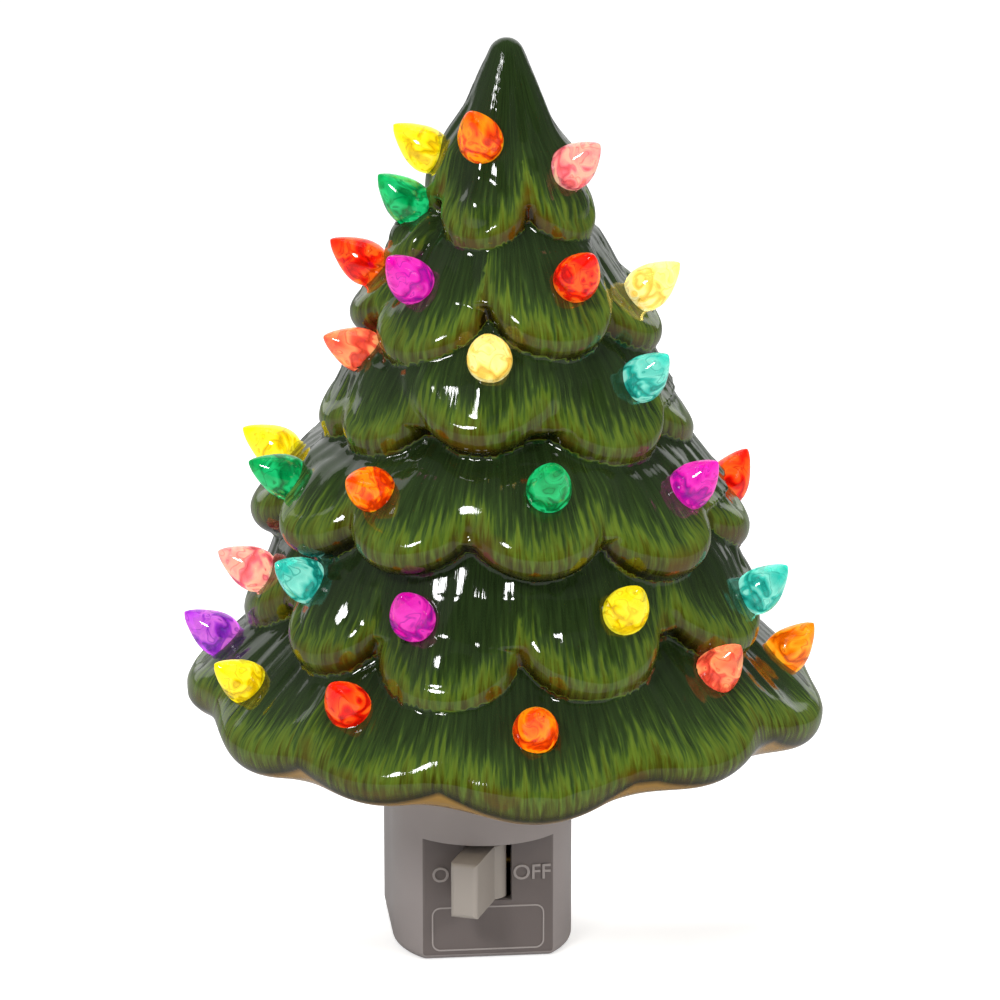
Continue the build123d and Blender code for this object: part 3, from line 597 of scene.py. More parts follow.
@dataclass(frozen=True)
class BranchTier:
    """One ring of branch tips, in millimetres above the lowest hem, as the solid has them.

    Each tip has its angle from the front, its lift above the hem, its stretch past the reach and its radius.
    """

    hem: float
    reach: float
    slope: float
    rim: float
    body: float
    rise: float
    neck: float
    tips: tuple[tuple[float, float, float, float], ...]
    web: float = 0.5
    fold: float = 7.0
    fold_start: float = 1.0
    fold_rise: float = 7.0
    dome: float = 2.0
    undercut: float = 2.5
    edge_points: int = 61

    @property
    def level(self) -> float:
        """Height of the plain cone's widest ring."""
        return self.hem + self.rise

    def tip_axes(self, angle: float, lift: float, stretch: float, radius: float) -> tuple[np.ndarray, ...]:
        """Finds the place of a tip.

        Args:
            angle: Its angle from the front, in degrees.
            lift: Its lift above the hem.
            stretch: Its stretch past the reach.
            radius: Its radius.

        Returns:
            Its centre, and its directions sideways, down the slope and out of its face.
        """
        slope, turn = math.radians(self.slope), math.radians(angle)
        flat = radius - self.rim
        out = np.array((math.sin(turn), -math.cos(turn), 0.0))
        up = np.array((0.0, 0.0, 1.0))
        centre = out * (self.reach + stretch - flat * math.cos(slope) - self.rim)
        centre = centre + up * (self.hem + lift + flat * math.sin(slope) + self.rim)
        down = out * math.cos(slope) - up * math.sin(slope)
        return centre, np.array((-out[1], out[0], 0.0)), down, out * math.sin(slope) + up * math.cos(slope)

    def tip_gap(self, spots: np.ndarray, tip: tuple[float, float, float, float]) -> np.ndarray:
        """Measures the distance of points to a tip, below zero inside it.

        Args:
            spots: Points in the tree's own millimetres.
            tip: The tip's angle, lift, stretch and radius.

        Returns:
            The distances.
        """
        centre, side, down, face = self.tip_axes(*tip)
        flat = tip[3] - self.rim
        wide = np.hypot((spots - centre) @ side, (spots - centre) @ down)
        above = (spots - centre) @ face
        crown = self.rim + self.dome * (1 - np.clip(wide / flat, 0, 1) ** 2)
        middle = np.maximum(above - crown, -self.rim - above)
        return np.where(wide < flat, middle, np.hypot(wide - flat, above) - self.rim)

    def gap(self, spots: np.ndarray, top: tuple[float, float], ball: float = 0.0) -> np.ndarray:
        """Measures the distance of points to the whole tier, below zero inside it.

        Args:
            spots: Points in the tree's own millimetres.
            top: Radius and height where the tier's plain cone ends, or the middle of its round end.
            ball: Radius of the round end, if it has one.

        Returns:
            The distances.
        """
        away, high = away_of(spots), spots[:, 2]
        rise = np.clip((high - self.level - self.fold_start) / self.fold_rise, 0, 1)
        whole = np.full(len(spots), FAR)
        if self.body > 0:
            lean = math.atan2(self.body - top[0], top[1] - self.level)
            if ball > 0:
                lean -= math.asin(ball / math.hypot(self.body, top[1] - self.level))
            side = (away - self.body) * math.cos(lean) + (high - self.level) * math.sin(lean)
            tilt = math.atan2(self.undercut, self.body - self.neck)
            under = (self.level - high) * math.cos(tilt) - (self.body - away) * math.sin(tilt)
            whole = np.maximum(side, under)
            if ball > 0:
                round_end = np.hypot(away, high - top[1]) - ball
                whole = np.where(high > top[1] + ball * math.sin(lean), round_end, whole)
            else:
                whole = np.maximum(whole, high - top[1])
        for tip in self.tips:
            whole = blend(whole, self.tip_gap(spots, tip), self.web + (self.fold - self.web) * rise)
        return whole

    def hem_line(self, turns: np.ndarray) -> np.ndarray:
        """Finds the height of the scalloped hem at each angle.

        Args:
            turns: Angles from the front, in degrees, in rising order.

        Returns:
            Heights above the lowest hem of the tree.
        """
        line = np.full(len(turns), self.level)
        around = np.linspace(-math.pi / 2, math.pi / 2, self.edge_points)[:, None]
        for tip in self.tips:
            centre, side, down, _ = self.tip_axes(*tip)
            edge = centre + tip[3] * (np.sin(around) * side + np.cos(around) * down)
            angles = angles_from(turn_of(edge), tip[0])
            order = np.argsort(angles)
            apart = angles_from(turns, tip[0])
            line = np.minimum(line, np.interp(apart, angles[order], edge[order, 2], left=FAR, right=FAR))
        return line


# Each tier starts with its hem, reach, slope, rim, body, rise and neck. The last is a single tip.
TIERS = (
    BranchTier(
        *(94.0, 17.0, 60.0, 3.3, 14.3, 9.0, 12.0),
        ((-176, 1, -2, 9.0), (-106, 3, -2, 8.5), (-26, 0, 0, 7.8), (48, 0, 0, 7.8), (113, 0, -1, 9.0)),
    ),
    BranchTier(
        *(75.0, 28.0, 41.0, 3.8, 22.0, 12.0, 18.5),
        ((-100, 1.5, 0, 11.5), (-48, -0.5, 0, 11.0), (18, 2.5, 0, 11.3), (74, -1, 0, 11.5), (124, 0.35, 0, 12.0)),
    ),
    BranchTier(
        *(57.0, 33.7, 45.0, 4.0, 31.0, 9.5, 26.5),
        (
            *((-128, 1, 0, 12.5), (-88, 1, 0, 11.5), (-58, 1.5, 0, 9.8), (-15, 5.35, 0, 12.2)),
            *((37, 1, 0, 13.2), (86, -2, 0, 13.5), (134, 0, 0, 13.0)),
        ),
    ),
    BranchTier(
        *(38.5, 45.0, 35.0, 4.5, 40.5, 10.5, 36.5),
        (
            *((-98, 1, 1.2, 13.0), (-64.7, 3, 0, 11.0), (-33, 4, 0, 11.5), (2.5, 4, 0, 12.2)),
            *((39.8, 1, 0, 12.5), (84, -2, -1, 14.5), (122.8, 0, 0, 14.5)),
        ),
    ),
    BranchTier(
        *(17.5, 47.5, 49.0, 4.5, 42.5, 13.5, 39.5),
        (
            *((-94, 4, 0, 14.0), (-54, 4.5, 0, 10.5), (-21, 0, 0, 12.5), (16, 3, 0, 13.3)),
            *((58, 4.35, 1, 13.6), (97, 3, 0, 15.0)),
        ),
    ),
    BranchTier(
        *(2.0, 57.0, 30.0, 4.5, 51.5, 8.0, 49.0),
        (
            *((-94, 5, 1, 16.0), (-62, 2, 0, 16.0), (-32, 2.5, 0, 16.0), (0, 0.5, 0, 17.0)),
            *((35, 3.5, 0, 17.0), (71, 1.5, 1, 17.0), (104, 1, 0, 17.0)),
        ),
        web=8.0,
    ),
    BranchTier(88.0, 22.0, 52.0, 3.2, 0.0, 0.0, 0.0, ((-86, 0, 0, 7.2),)),
)
# Place of the lowest skirt, which stands on the foot, in the list of tiers.
LOWEST = 5


@dataclass(frozen=True)
class Pleat:
    """Waves that run down the skirts, in millimetres, with the row of the noise that they are taken from."""

    depth: float
    width: float
    length: float
    row: float
    crest: float = 0.3

    def push(self, arc: float, fall: float) -> float:
        """Finds how far a point at a length round the tier and a height above its hem is pushed out."""
        return self.depth * (noise.noise((arc / self.width, fall / self.length, self.row)) - self.crest)


@dataclass
class TreeShade:
    """Ceramic shade: the solid's form with its branches melted into one skirt per tier, and its brush strokes.

    Sizes are in millimetres, and heights are above the lowest hem.
    """

    hem_z: float = 24.2
    grid: float = 0.7
    soften_steps: int = 2
    settle_steps: int = 5
    settle_reach: float = 2.9
    probe: float = 0.05
    pull: float = 0.9
    flattest: float = 0.2
    crease: float = 1.1
    crease_steps: int = 4
    kept_faces: float = 0.64
    crown: tuple[float, float] = (0.0, 126.8)
    crown_ball: float = 3.2
    ridge: float = 0.7
    ridge_turn: float = 20.0
    ridge_fades: tuple[float, float] = (6.0, 10.0)
    foot: tuple[float, float] = (48.0, 5.0)
    pleats: tuple[Pleat, ...] = (Pleat(0.34, 3.0, 18.0, 0.5), Pleat(0.9, 7.5, 40.0, 7.5))
    pleat_start: float = 4.0
    pleat_fade: float = 8.0
    fall_per_height: float = 1.25
    fall_limits: tuple[float, float] = (-6.0, 40.0)
    hem_angles: int = 1441
    back_y: float = -1.0
    back_edge: tuple[float, float] = (1.3, 0.8)
    floor_bottom: float = 5.0
    recess: float = 45.0
    slack: float = 1.0
    wall_slack: float = 0.9
    hollow: Line = (
        *((10, 47.5), (28.5, 35.5), (31, 38.5), (46.5, 32.5), (49, 36.5), (64, 22.5), (66.5, 27)),
        *((84.5, 14.5), (87, 18), (100.5, 8), (103, 10.3), (116.5, 0)),
    )

    def build(self, frame: dict) -> bpy.types.Object:
        """Builds the shade and puts it in place of its solid.

        Args:
            frame: The loaded frame.

        Returns:
            The shade's object.
        """
        solid = frame["nodes"]["tree_shell"].data
        corners = self.places(solid)
        shape = shape_of(solid)
        bmesh.ops.remove_doubles(shape, verts=shape.verts, dist=WELD)
        first = self.even(shape)
        spots = self.places(first)
        glazed = self.bare_clay(spots) < 0.5
        spots[glazed] = self.settle(spots[glazed])
        # The ends of the foot at the flat back rise with the rest of it.
        away = away_of(spots)
        ends = ~glazed & (away > self.recess - self.slack) & (away < self.foot[0] + 2 * self.slack)
        spots[ends, 2] = np.maximum(spots[ends, 2], self.foot[1])
        self.move(first, spots)
        # A second even grid closes the folds that the filled pockets leave round the lights.
        second = self.even(shape_of(first))
        shade = piece_from(shape_of(second), "tree_shade", [GlazedEarthenware().material()])
        self.form(shade.data, (corners.min(0), corners.max(0)))
        self.thin_inside(shade)
        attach(shade, BASE)
        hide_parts("tree_shell")
        LOG.info("built %s with %d faces", shade.name, len(shade.data.polygons))
        return shade

    def even(self, shape: bmesh.types.BMesh) -> bpy.types.Mesh:
        """Covers a form with an even grid of points and softens it.

        Args:
            shape: The form. It is freed.

        Returns:
            The even mesh.
        """
        rough = piece_from(shape, "tree_rough", [])
        evener = rough.modifiers.new("even_grid", "REMESH")
        evener.mode = "VOXEL"
        evener.voxel_size = self.grid * MM
        mesh = finished_mesh(rough)
        bpy.data.objects.remove(rough)
        shape = shape_of(mesh)
        soften(shape, shape.verts[:], self.soften_steps)
        shape.to_mesh(mesh)
        shape.free()
        return mesh

    def places(self, mesh: bpy.types.Mesh) -> np.ndarray:
        """Reads a mesh's points in the tree's own millimetres."""
        return points_of(mesh) / MM - (*TREE_AXIS, self.hem_z)

    def move(self, mesh: bpy.types.Mesh, spots: np.ndarray) -> None:
        """Moves the points of a mesh.

        Args:
            mesh: The mesh.
            spots: Their new places in the tree's own millimetres.
        """
        there = (spots + (*TREE_AXIS, self.hem_z)) * MM
        mesh.vertices.foreach_set("co", there.astype(np.float32).ravel())
        mesh.update()

    def form(self, mesh: bpy.types.Mesh, box: tuple[np.ndarray, np.ndarray]) -> None:
        """Melts the branches into skirts, pleats them and stores where each point lies on its branch.

        Args:
            mesh: The shade's mesh. It gets the attributes fall, arc and bare.
            box: Lowest and highest corner of the solid, which no point leaves.
        """
        spots = self.places(mesh)
        bare = self.bare_clay(spots)
        glazed = bare < 0.5
        spots[glazed] = self.settle(spots[glazed])
        self.move(mesh, spots)
        self.soften_creases(mesh, glazed)
        spots = self.places(mesh)
        fall, arc = self.branch_places(spots)
        normals = np.zeros(spots.size, np.float32)
        mesh.vertices.foreach_get("normal", normals)
        shift = np.array([sum(pleat.push(a, f) for pleat in self.pleats) for a, f in zip(arc, fall)])
        above_hem = np.clip((fall - self.pleat_start) / self.pleat_fade, 0, 1)
        below_crown = np.clip((self.crown[1] - spots[:, 2]) / self.pleat_fade, 0, 1)
        spots += normals.reshape(-1, 3) * (shift * (above_hem * below_crown * (1 - bare)))[:, None]
        self.move(mesh, np.clip(spots, *box))
        for name, values in (("fall", fall), ("arc", arc), ("bare", bare)):
            mesh.attributes.new(name, "FLOAT", "POINT").data.foreach_set("value", values.astype(np.float32))

    def thin_inside(self, piece: bpy.types.Object) -> None:
        """Joins small faces of the plain inside, so the outside can keep its fine ones.

        Args:
            piece: The shade's object.
        """
        bare = np.zeros(len(piece.data.vertices), np.float32)
        piece.data.attributes["bare"].data.foreach_get("value", bare)
        inner = piece.vertex_groups.new(name="inner")
        inner.add(np.flatnonzero(bare > 0.5).tolist(), 1.0, "REPLACE")
        thinner = piece.modifiers.new("thin_inside", "DECIMATE")
        thinner.ratio = self.kept_faces
        thinner.vertex_group = inner.name
        thinner.vertex_group_factor = 100.0
        mesh = finished_mesh(piece)
        piece.modifiers.clear()
        piece.vertex_groups.clear()
        piece.data = mesh
        mesh.shade_smooth()

    def soften_creases(self, mesh: bpy.types.Mesh, glazed: np.ndarray) -> None:
        """Evens out the points in the creases where one tier meets the next.

        Args:
            mesh: The shade's mesh.
            glazed: Which of its points are on the outside.
        """
        rows = np.sort(self.gaps(self.places(mesh)), axis=0)
        near = np.flatnonzero(glazed & (rows[1] - rows[0] < self.crease))
        shape = shape_of(mesh)
        shape.verts.ensure_lookup_table()
        soften(shape, [shape.verts[index] for index in near], self.crease_steps)
        shape.to_mesh(mesh)
        shape.free()

    def gaps(self, spots: np.ndarray) -> np.ndarray:
        """Measures the distance of points to every tier's melted form.

        Args:
            spots: Points in the tree's own millimetres.

        Returns:
            Distances, one row for each tier, below zero inside it.
        """
        rows = [TIERS[0].gap(spots, self.crown, self.crown_ball) + self.crown_ridges(spots)]
        for above, tier in zip(TIERS, TIERS[1:]):
            rows.append(tier.gap(spots, (above.neck, above.level - above.undercut)))
        high = spots[:, 2]
        upright = np.maximum(self.foot[1] - high, high - TIERS[LOWEST].level)
        rows[LOWEST] = np.minimum(rows[LOWEST], np.maximum(away_of(spots) - self.foot[0], upright))
        return np.array(rows)

    def crown_ridges(self, spots: np.ndarray) -> np.ndarray:
        """Finds how far the top tier draws in between its tips, and swells over them, below its crown.

        Args:
            spots: Points in the tree's own millimetres.

        Returns:
            Distances to add to those of the plain tier.
        """
        turn, high = turn_of(spots), spots[:, 2]
        over_tip = [np.exp(-((angles_from(turn, tip[0]) / self.ridge_turn) ** 2)) for tip in TIERS[0].tips]
        low, up = self.ridge_fades
        share = np.clip((high - TIERS[0].level) / low, 0, 1) * np.clip((self.crown[1] - high) / up, 0, 1)
        return self.ridge * share * (0.5 - np.max(over_tip, axis=0))

    def settle(self, spots: np.ndarray) -> np.ndarray:
        """Moves points near the outside onto the melted form.

        Args:
            spots: Points in the tree's own millimetres.

        Returns:
            The moved points.
        """
        spots = spots.copy()
        near = np.abs(self.gaps(spots).min(0)) < self.settle_reach
        for _ in range(self.settle_steps):
            part = spots[near]
            here = self.gaps(part).min(0)
            there = [self.gaps(part + self.probe * axis).min(0) for axis in np.eye(3)]
            lean = np.stack([(gap - here) / self.probe for gap in there], axis=1)
            steep = np.clip((lean**2).sum(1), self.flattest, None)
            spots[near] = part - lean * (self.pull * here / steep)[:, None]
        return spots

    def branch_places(self, spots: np.ndarray) -> tuple[np.ndarray, np.ndarray]:
        """Finds how high above its branch's hem each point is, and how far round the tree.

        Args:
            spots: Points in the tree's own millimetres.

        Returns:
            Height above the hem and length round the tier, in millimetres.
        """
        turn = turn_of(spots)
        owner = self.gaps(spots).argmin(0)
        angles = np.linspace(-180, 180, self.hem_angles)
        fall = np.zeros(len(spots))
        arc = np.zeros(len(spots))
        for index, tier in enumerate(TIERS):
            mine = owner == index
            hem = np.interp(turn[mine], angles, tier.hem_line(angles))
            fall[mine] = self.fall_per_height * (spots[mine, 2] - hem)
            arc[mine] = np.radians(turn[mine]) * tier.reach
        return np.clip(fall, *self.fall_limits), arc

    def bare_clay(self, spots: np.ndarray) -> np.ndarray:
        """Finds which points are unglazed: the inside, the recess under the floor and the flat back.

        Args:
            spots: Points in the tree's own millimetres.

        Returns:
            1 where the clay is bare, 0 where it is glazed, and between them at the edge of the back.
        """
        away, high = away_of(spots), spots[:, 2]
        heights, radii = zip(*self.hollow)
        within = (high > heights[0] - self.slack) & (high < heights[-1] + self.slack)
        inside = within & (away < np.interp(high, heights, radii) + self.wall_slack)
        under = (high < self.floor_bottom + self.slack) & (away < self.recess + self.slack)
        before, fade = self.back_edge
        behind = np.clip((spots[:, 1] + TREE_AXIS[1] - self.back_y + before) / fade, 0, 1)
        return np.maximum((inside | under).astype(float), behind)


@dataclass
class PegLight:
    """One coloured peg light: a teardrop on a stem, with a lit, faceted inside. Millimetres."""

    node: str
    tint: Tint
    number: int
    length: float = 11.2
    radius: float = 4.0
    sides: int = 28
    facets: int = 7
    twist: float = 40.0
    rings_out: float = 4.0
    rings_up: float = 2.0
    seed_step: float = 3.7
    skin_line: Line = (
        *((0.0, -6.0), (1.45, -6.0), (1.6, -5.8), (1.6, -0.25), (2.35, 0.0), (2.75, 0.25), (3.15, 0.85)),
        *((3.6, 1.7), (3.9, 2.6), (4.0, 3.4), (3.92, 4.5), (3.7, 5.5), (3.35, 6.45), (2.85, 7.5)),
        *((2.25, 8.6), (1.55, 9.7), (0.9, 10.5), (0.38, 11.0), (0.0, 11.2)),
    )
    core_line: Line = ((0.0, 0.9), (1.5, 1.2), (2.3, 2.6), (2.2, 4.4), (1.4, 6.4), (0.6, 8.2), (0.0, 9.0))

    def build(self, frame: dict, skin: bpy.types.Material, core: bpy.types.Material) -> bpy.types.Object:
        """Builds the light in place of its solid.

        Args:
            frame: The loaded frame.
            skin: Material of the outside.
            core: Material of the lit inside.

        Returns:
            The light's object.
        """
        shape = bmesh.new()
        self.spin_line(shape, self.skin_line, self.sides, 0.0, 0)
        self.spin_line(shape, self.core_line, self.facets, self.twist, 1)
        layers = shape.verts.layers
        own = layers.float_vector.new("own")
        ring, high, seed = (layers.float.new(name) for name in ("ring", "high", "seed"))
        for vert in shape.verts:
            up = vert.co.z / (self.length * MM)
            vert[own] = vert.co / MM
            vert[ring] = self.rings_out * vert.co.xy.length / (self.radius * MM) + self.rings_up * up
            vert[high] = min(max(up, 0.0), 1.0)
            vert[seed] = self.seed_step * self.number
        corners = points_of(frame["nodes"][self.node].data)
        bmesh.ops.transform(shape, matrix=self.seat(corners), verts=shape.verts)
        for vert in shape.verts:
            vert.co = Vector(np.clip(vert.co, corners.min(0), corners.max(0)))
        light = piece_from(shape, self.node.replace("light_", "peg_"), [skin, core])
        for face in light.data.polygons:
            face.use_smooth = face.material_index == 0
        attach(light, BASE)
        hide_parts(self.node)
        LOG.info("built %s", light.name)
        return light

    def spin_line(self, shape: bmesh.types.BMesh, line: Line, sides: int, twist: float, finish: int) -> None:
        """Spins an outline about Z, and turns its rows more the higher they are.

        Args:
            shape: Mesh that gets the turned form.
            line: Radius and height of the outline's corners.
            sides: Number of sides of the turned form.
            twist: Turn from the bottom to the top, in degrees.
            finish: Material index of its faces.
        """
        old = set(shape.faces)
        verts = [shape.verts.new((radius * MM, 0, height * MM)) for radius, height in line]
        edges = [shape.edges.new(pair) for pair in zip(verts, verts[1:])]
        whole = {"cent": (0, 0, 0), "axis": (0, 0, 1), "angle": 2 * math.pi, "steps": sides, "use_merge": True}
        bmesh.ops.spin(shape, geom=verts + edges, **whole)
        bmesh.ops.remove_doubles(shape, verts=shape.verts, dist=WELD)
        faces = [face for face in shape.faces if face not in old]
        for vert in {vert for face in faces for vert in face.verts}:
            share = vert.co.z / (self.length * MM)
            vert.co = Matrix.Rotation(math.radians(twist) * share, 3, "Z") @ vert.co
        for face in faces:
            face.material_index = finish
        bmesh.ops.recalc_face_normals(shape, faces=faces)

    def seat(self, corners: np.ndarray) -> Matrix:
        """Finds the place of the light's seat from its solid.

        Args:
            corners: The solid's points, in metres.

        Returns:
            Matrix from a light along Z with its seat at zero to its place on the tree.
        """
        middle = (corners.min(0) + corners.max(0)) / 2
        axis = Vector(np.linalg.svd(corners - corners.mean(0), full_matrices=False)[2][0])
        outwards = Vector((middle[0] - TREE_AXIS[0] * MM, middle[1] - TREE_AXIS[1] * MM, 0))
        if axis.dot(outwards) < 0:
            axis = -axis
        tip = corners[int(((corners - middle) @ np.array(axis)).argmax())]
        turn = axis.to_track_quat("Z", "Y").to_matrix().to_4x4()
        return Matrix.Translation(Vector(tip) - axis * (self.length * MM)) @ turn


@dataclass
class SwitchMarks:
    """Moulded marks on the holder's switch plate: the two words and the bare raised border. Millimetres."""

    plate_y: float = -30.5
    rise: float = 0.22
    sink: float = 0.1
    letter_size: float = 4.0
    letter_round: float = 0.04
    words: tuple[tuple[str, str, float, float], ...] = (("mark_on", "ON", -7.1, 2.3), ("mark_off", "OFF", 8.0, 2.3))
    border: tuple[float, float, float, float] = (-10.3, 10.3, -12.4, -3.9)
    border_corner: float = 1.6
    border_line: float = 0.28
    border_share: float = 0.8

    def build(self, material: bpy.types.Material) -> list[bpy.types.Object]:
        """Builds the marks.

        Args:
            material: The plastic of the marks.

        Returns:
            The pieces.
        """
        pieces = [self.word(*word, material) for word in self.words]
        pieces.append(self.frame_line(material))
        for piece in pieces:
            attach(piece, BASE)
            LOG.info("built %s", piece.name)
        return pieces

    def word(self, name: str, text: str, x: float, z: float, material: bpy.types.Material) -> bpy.types.Object:
        """Builds one raised word as a mesh.

        Args:
            name: Name of the piece.
            text: The letters.
            x: Middle of the word along the plate.
            z: Middle of the word's height.
            material: The plastic of the marks.

        Returns:
            The word's object.
        """
        curve = bpy.data.curves.new(name, "FONT")
        curve.body = text
        curve.size = self.letter_size * MM
        curve.extrude = (self.rise + self.sink) / 2 * MM
        curve.bevel_depth = self.letter_round * MM
        curve.align_x = "CENTER"
        curve.align_y = "CENTER"
        draft = bpy.data.objects.new(name + "_draft", curve)
        bpy.context.scene.collection.objects.link(draft)
        shape = shape_of(finished_mesh(draft))
        bpy.data.objects.remove(draft)
        bmesh.ops.remove_doubles(shape, verts=shape.verts, dist=WELD)
        middle = Vector((x, self.plate_y - (self.rise - self.sink) / 2, z)) * MM
        place = Matrix.Translation(middle) @ Matrix.Rotation(math.radians(90), 4, "X")
        bmesh.ops.transform(shape, matrix=place, verts=shape.verts)
        return piece_from(shape, name, [material], smooth=False)

    def frame_line(self, material: bpy.types.Material) -> bpy.types.Object:
        """Builds the thin raised border with round corners.

        Args:
            material: The plastic of the marks.

        Returns:
            The border's object.
        """
        left, right, low, high = self.border
        shape = bmesh.new()
        corners = ((left, low), (right, low), (right, high), (left, high))
        verts = [shape.verts.new((x * MM, (self.plate_y + self.sink) * MM, z * MM)) for x, z in corners]
        shape.faces.new(verts)
        rounding = {"offset_type": "OFFSET", "segments": 6, "profile": 0.5, "affect": "VERTICES", "material": -1}
        bmesh.ops.bevel(shape, geom=shape.verts[:], offset=self.border_corner * MM, **rounding)
        inner = shape.faces[:]
        band = bmesh.ops.inset_region(
            shape, faces=inner, thickness=self.border_line * MM, depth=0, use_even_offset=True, use_boundary=True
        )["faces"]
        bmesh.ops.delete(shape, geom=inner, context="FACES_ONLY")
        thicken(shape, band, (0, -(self.rise + self.sink) * self.border_share, 0))
        return piece_from(shape, "plate_border", [material], smooth=False)


@dataclass
class LeverBarrel:
    """Round body of the switch lever that fills the slot in the plate. Millimetres and degrees."""

    pivot: tuple[float, float] = (0.0, -27.5)
    radius: float = 3.9
    lean: float = -23.0
    half_angle: float = 85.0
    bottom: float = -2.45
    top: float = 7.75
    steps: int = 40

    def build(self, material: bpy.types.Material) -> bpy.types.Object:
        """Builds the barrel, which turns with the lever.

        Args:
            material: The plastic of the lever.

        Returns:
            The barrel's object.
        """
        shape = bmesh.new()
        x, y = self.pivot
        outline = [self.pivot]
        for number in range(self.steps + 1):
            turn = math.radians(self.lean + self.half_angle * (2 * number / self.steps - 1))
            outline.append((x + self.radius * math.sin(turn), y - self.radius * math.cos(turn)))
        face = shape.faces.new([shape.verts.new((x * MM, y * MM, self.bottom * MM)) for x, y in outline])
        thicken(shape, [face], (0, 0, self.top - self.bottom))
        barrel = piece_from(shape, "lever_barrel", [material], smooth=False)
        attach(barrel, LEVER)
        LOG.info("built %s", barrel.name)
        return barrel


@dataclass
class Holder:
    """Lamp holder, switch, plug blades and lamp: their solids with real finishes."""

    plastic: MouldedPlastic = MouldedPlastic("moulded_abs_grey", "#958d8b", "#8a8280", plate=(-30.5, 9.45))
    # The marks' plastic is lighter than the plate's: a painted highlight where the raised letters and border catch the
    # light.
    marks: MouldedPlastic = MouldedPlastic("moulded_abs_marks_painted_highlight", "#a29a97", "#978f8c")
    lever: MouldedPlastic = MouldedPlastic("moulded_abs_lever", "#a09890", "#958d85")
    sleeve: MouldedPlastic = MouldedPlastic("moulded_urea_cream", "#d8d2c0", "#ccc5b2", 0.5, 0.3)
    brass: DrawnMetal = DrawnMetal("rolled_brass", "#d3ab5a", "#a98440")
    zinc: DrawnMetal = DrawnMetal("zinc_plated_steel", "#b8bcc0", "#8e9296", 0.32)
    tin: DrawnMetal = DrawnMetal("soldered_tin", "#b4b3b0", "#8b8a88", 0.4)
    nickel: DrawnMetal = DrawnMetal("nickel_wire", "#c2bdb2", "#968f84", 0.3)
    crisp_angle: float = 25.0

    def build(self, frame: dict) -> None:
        """Dresses every node of the holder and builds the marks on its plate.

        Args:
            frame: The loaded frame.
        """
        strips = ("centre_contact", "switch_terminal", "neutral_strip", "socket_shell", "lamp_cap")
        lever = self.lever.material()
        finishes = (
            (self.plastic.material(), ("holder_front", "holder_back", "shade_ring")),
            (lever, ("switch_lever",)),
            (self.sleeve.material(), ("socket_sleeve",)),
            (self.tin.material(), ("lamp_tip",)),
            (BlackGlass().material(), ("lamp_insulator",)),
            (BlownGlass().material(), ("lamp_glass", "lamp_mount")),
            (self.nickel.material(), ("lamp_lead_left", "lamp_lead_right")),
            (GlowingTungsten().material(), ("lamp_filament",)),
            (self.brass.material(), ("blade_neutral", "blade_line", *strips)),
            (self.zinc.material(), ("cover_screw_left", "cover_screw_right", "cover_screw_bottom")),
        )
        for material, names in finishes:
            for name in names:
                dress(frame["nodes"][name], material)
        crisp = frame["nodes"]["holder_front"].modifiers.new("crisp_edges", "EDGE_SPLIT")
        crisp.split_angle = math.radians(self.crisp_angle)
        SwitchMarks().build(self.marks.material())
        LeverBarrel().build(lever)


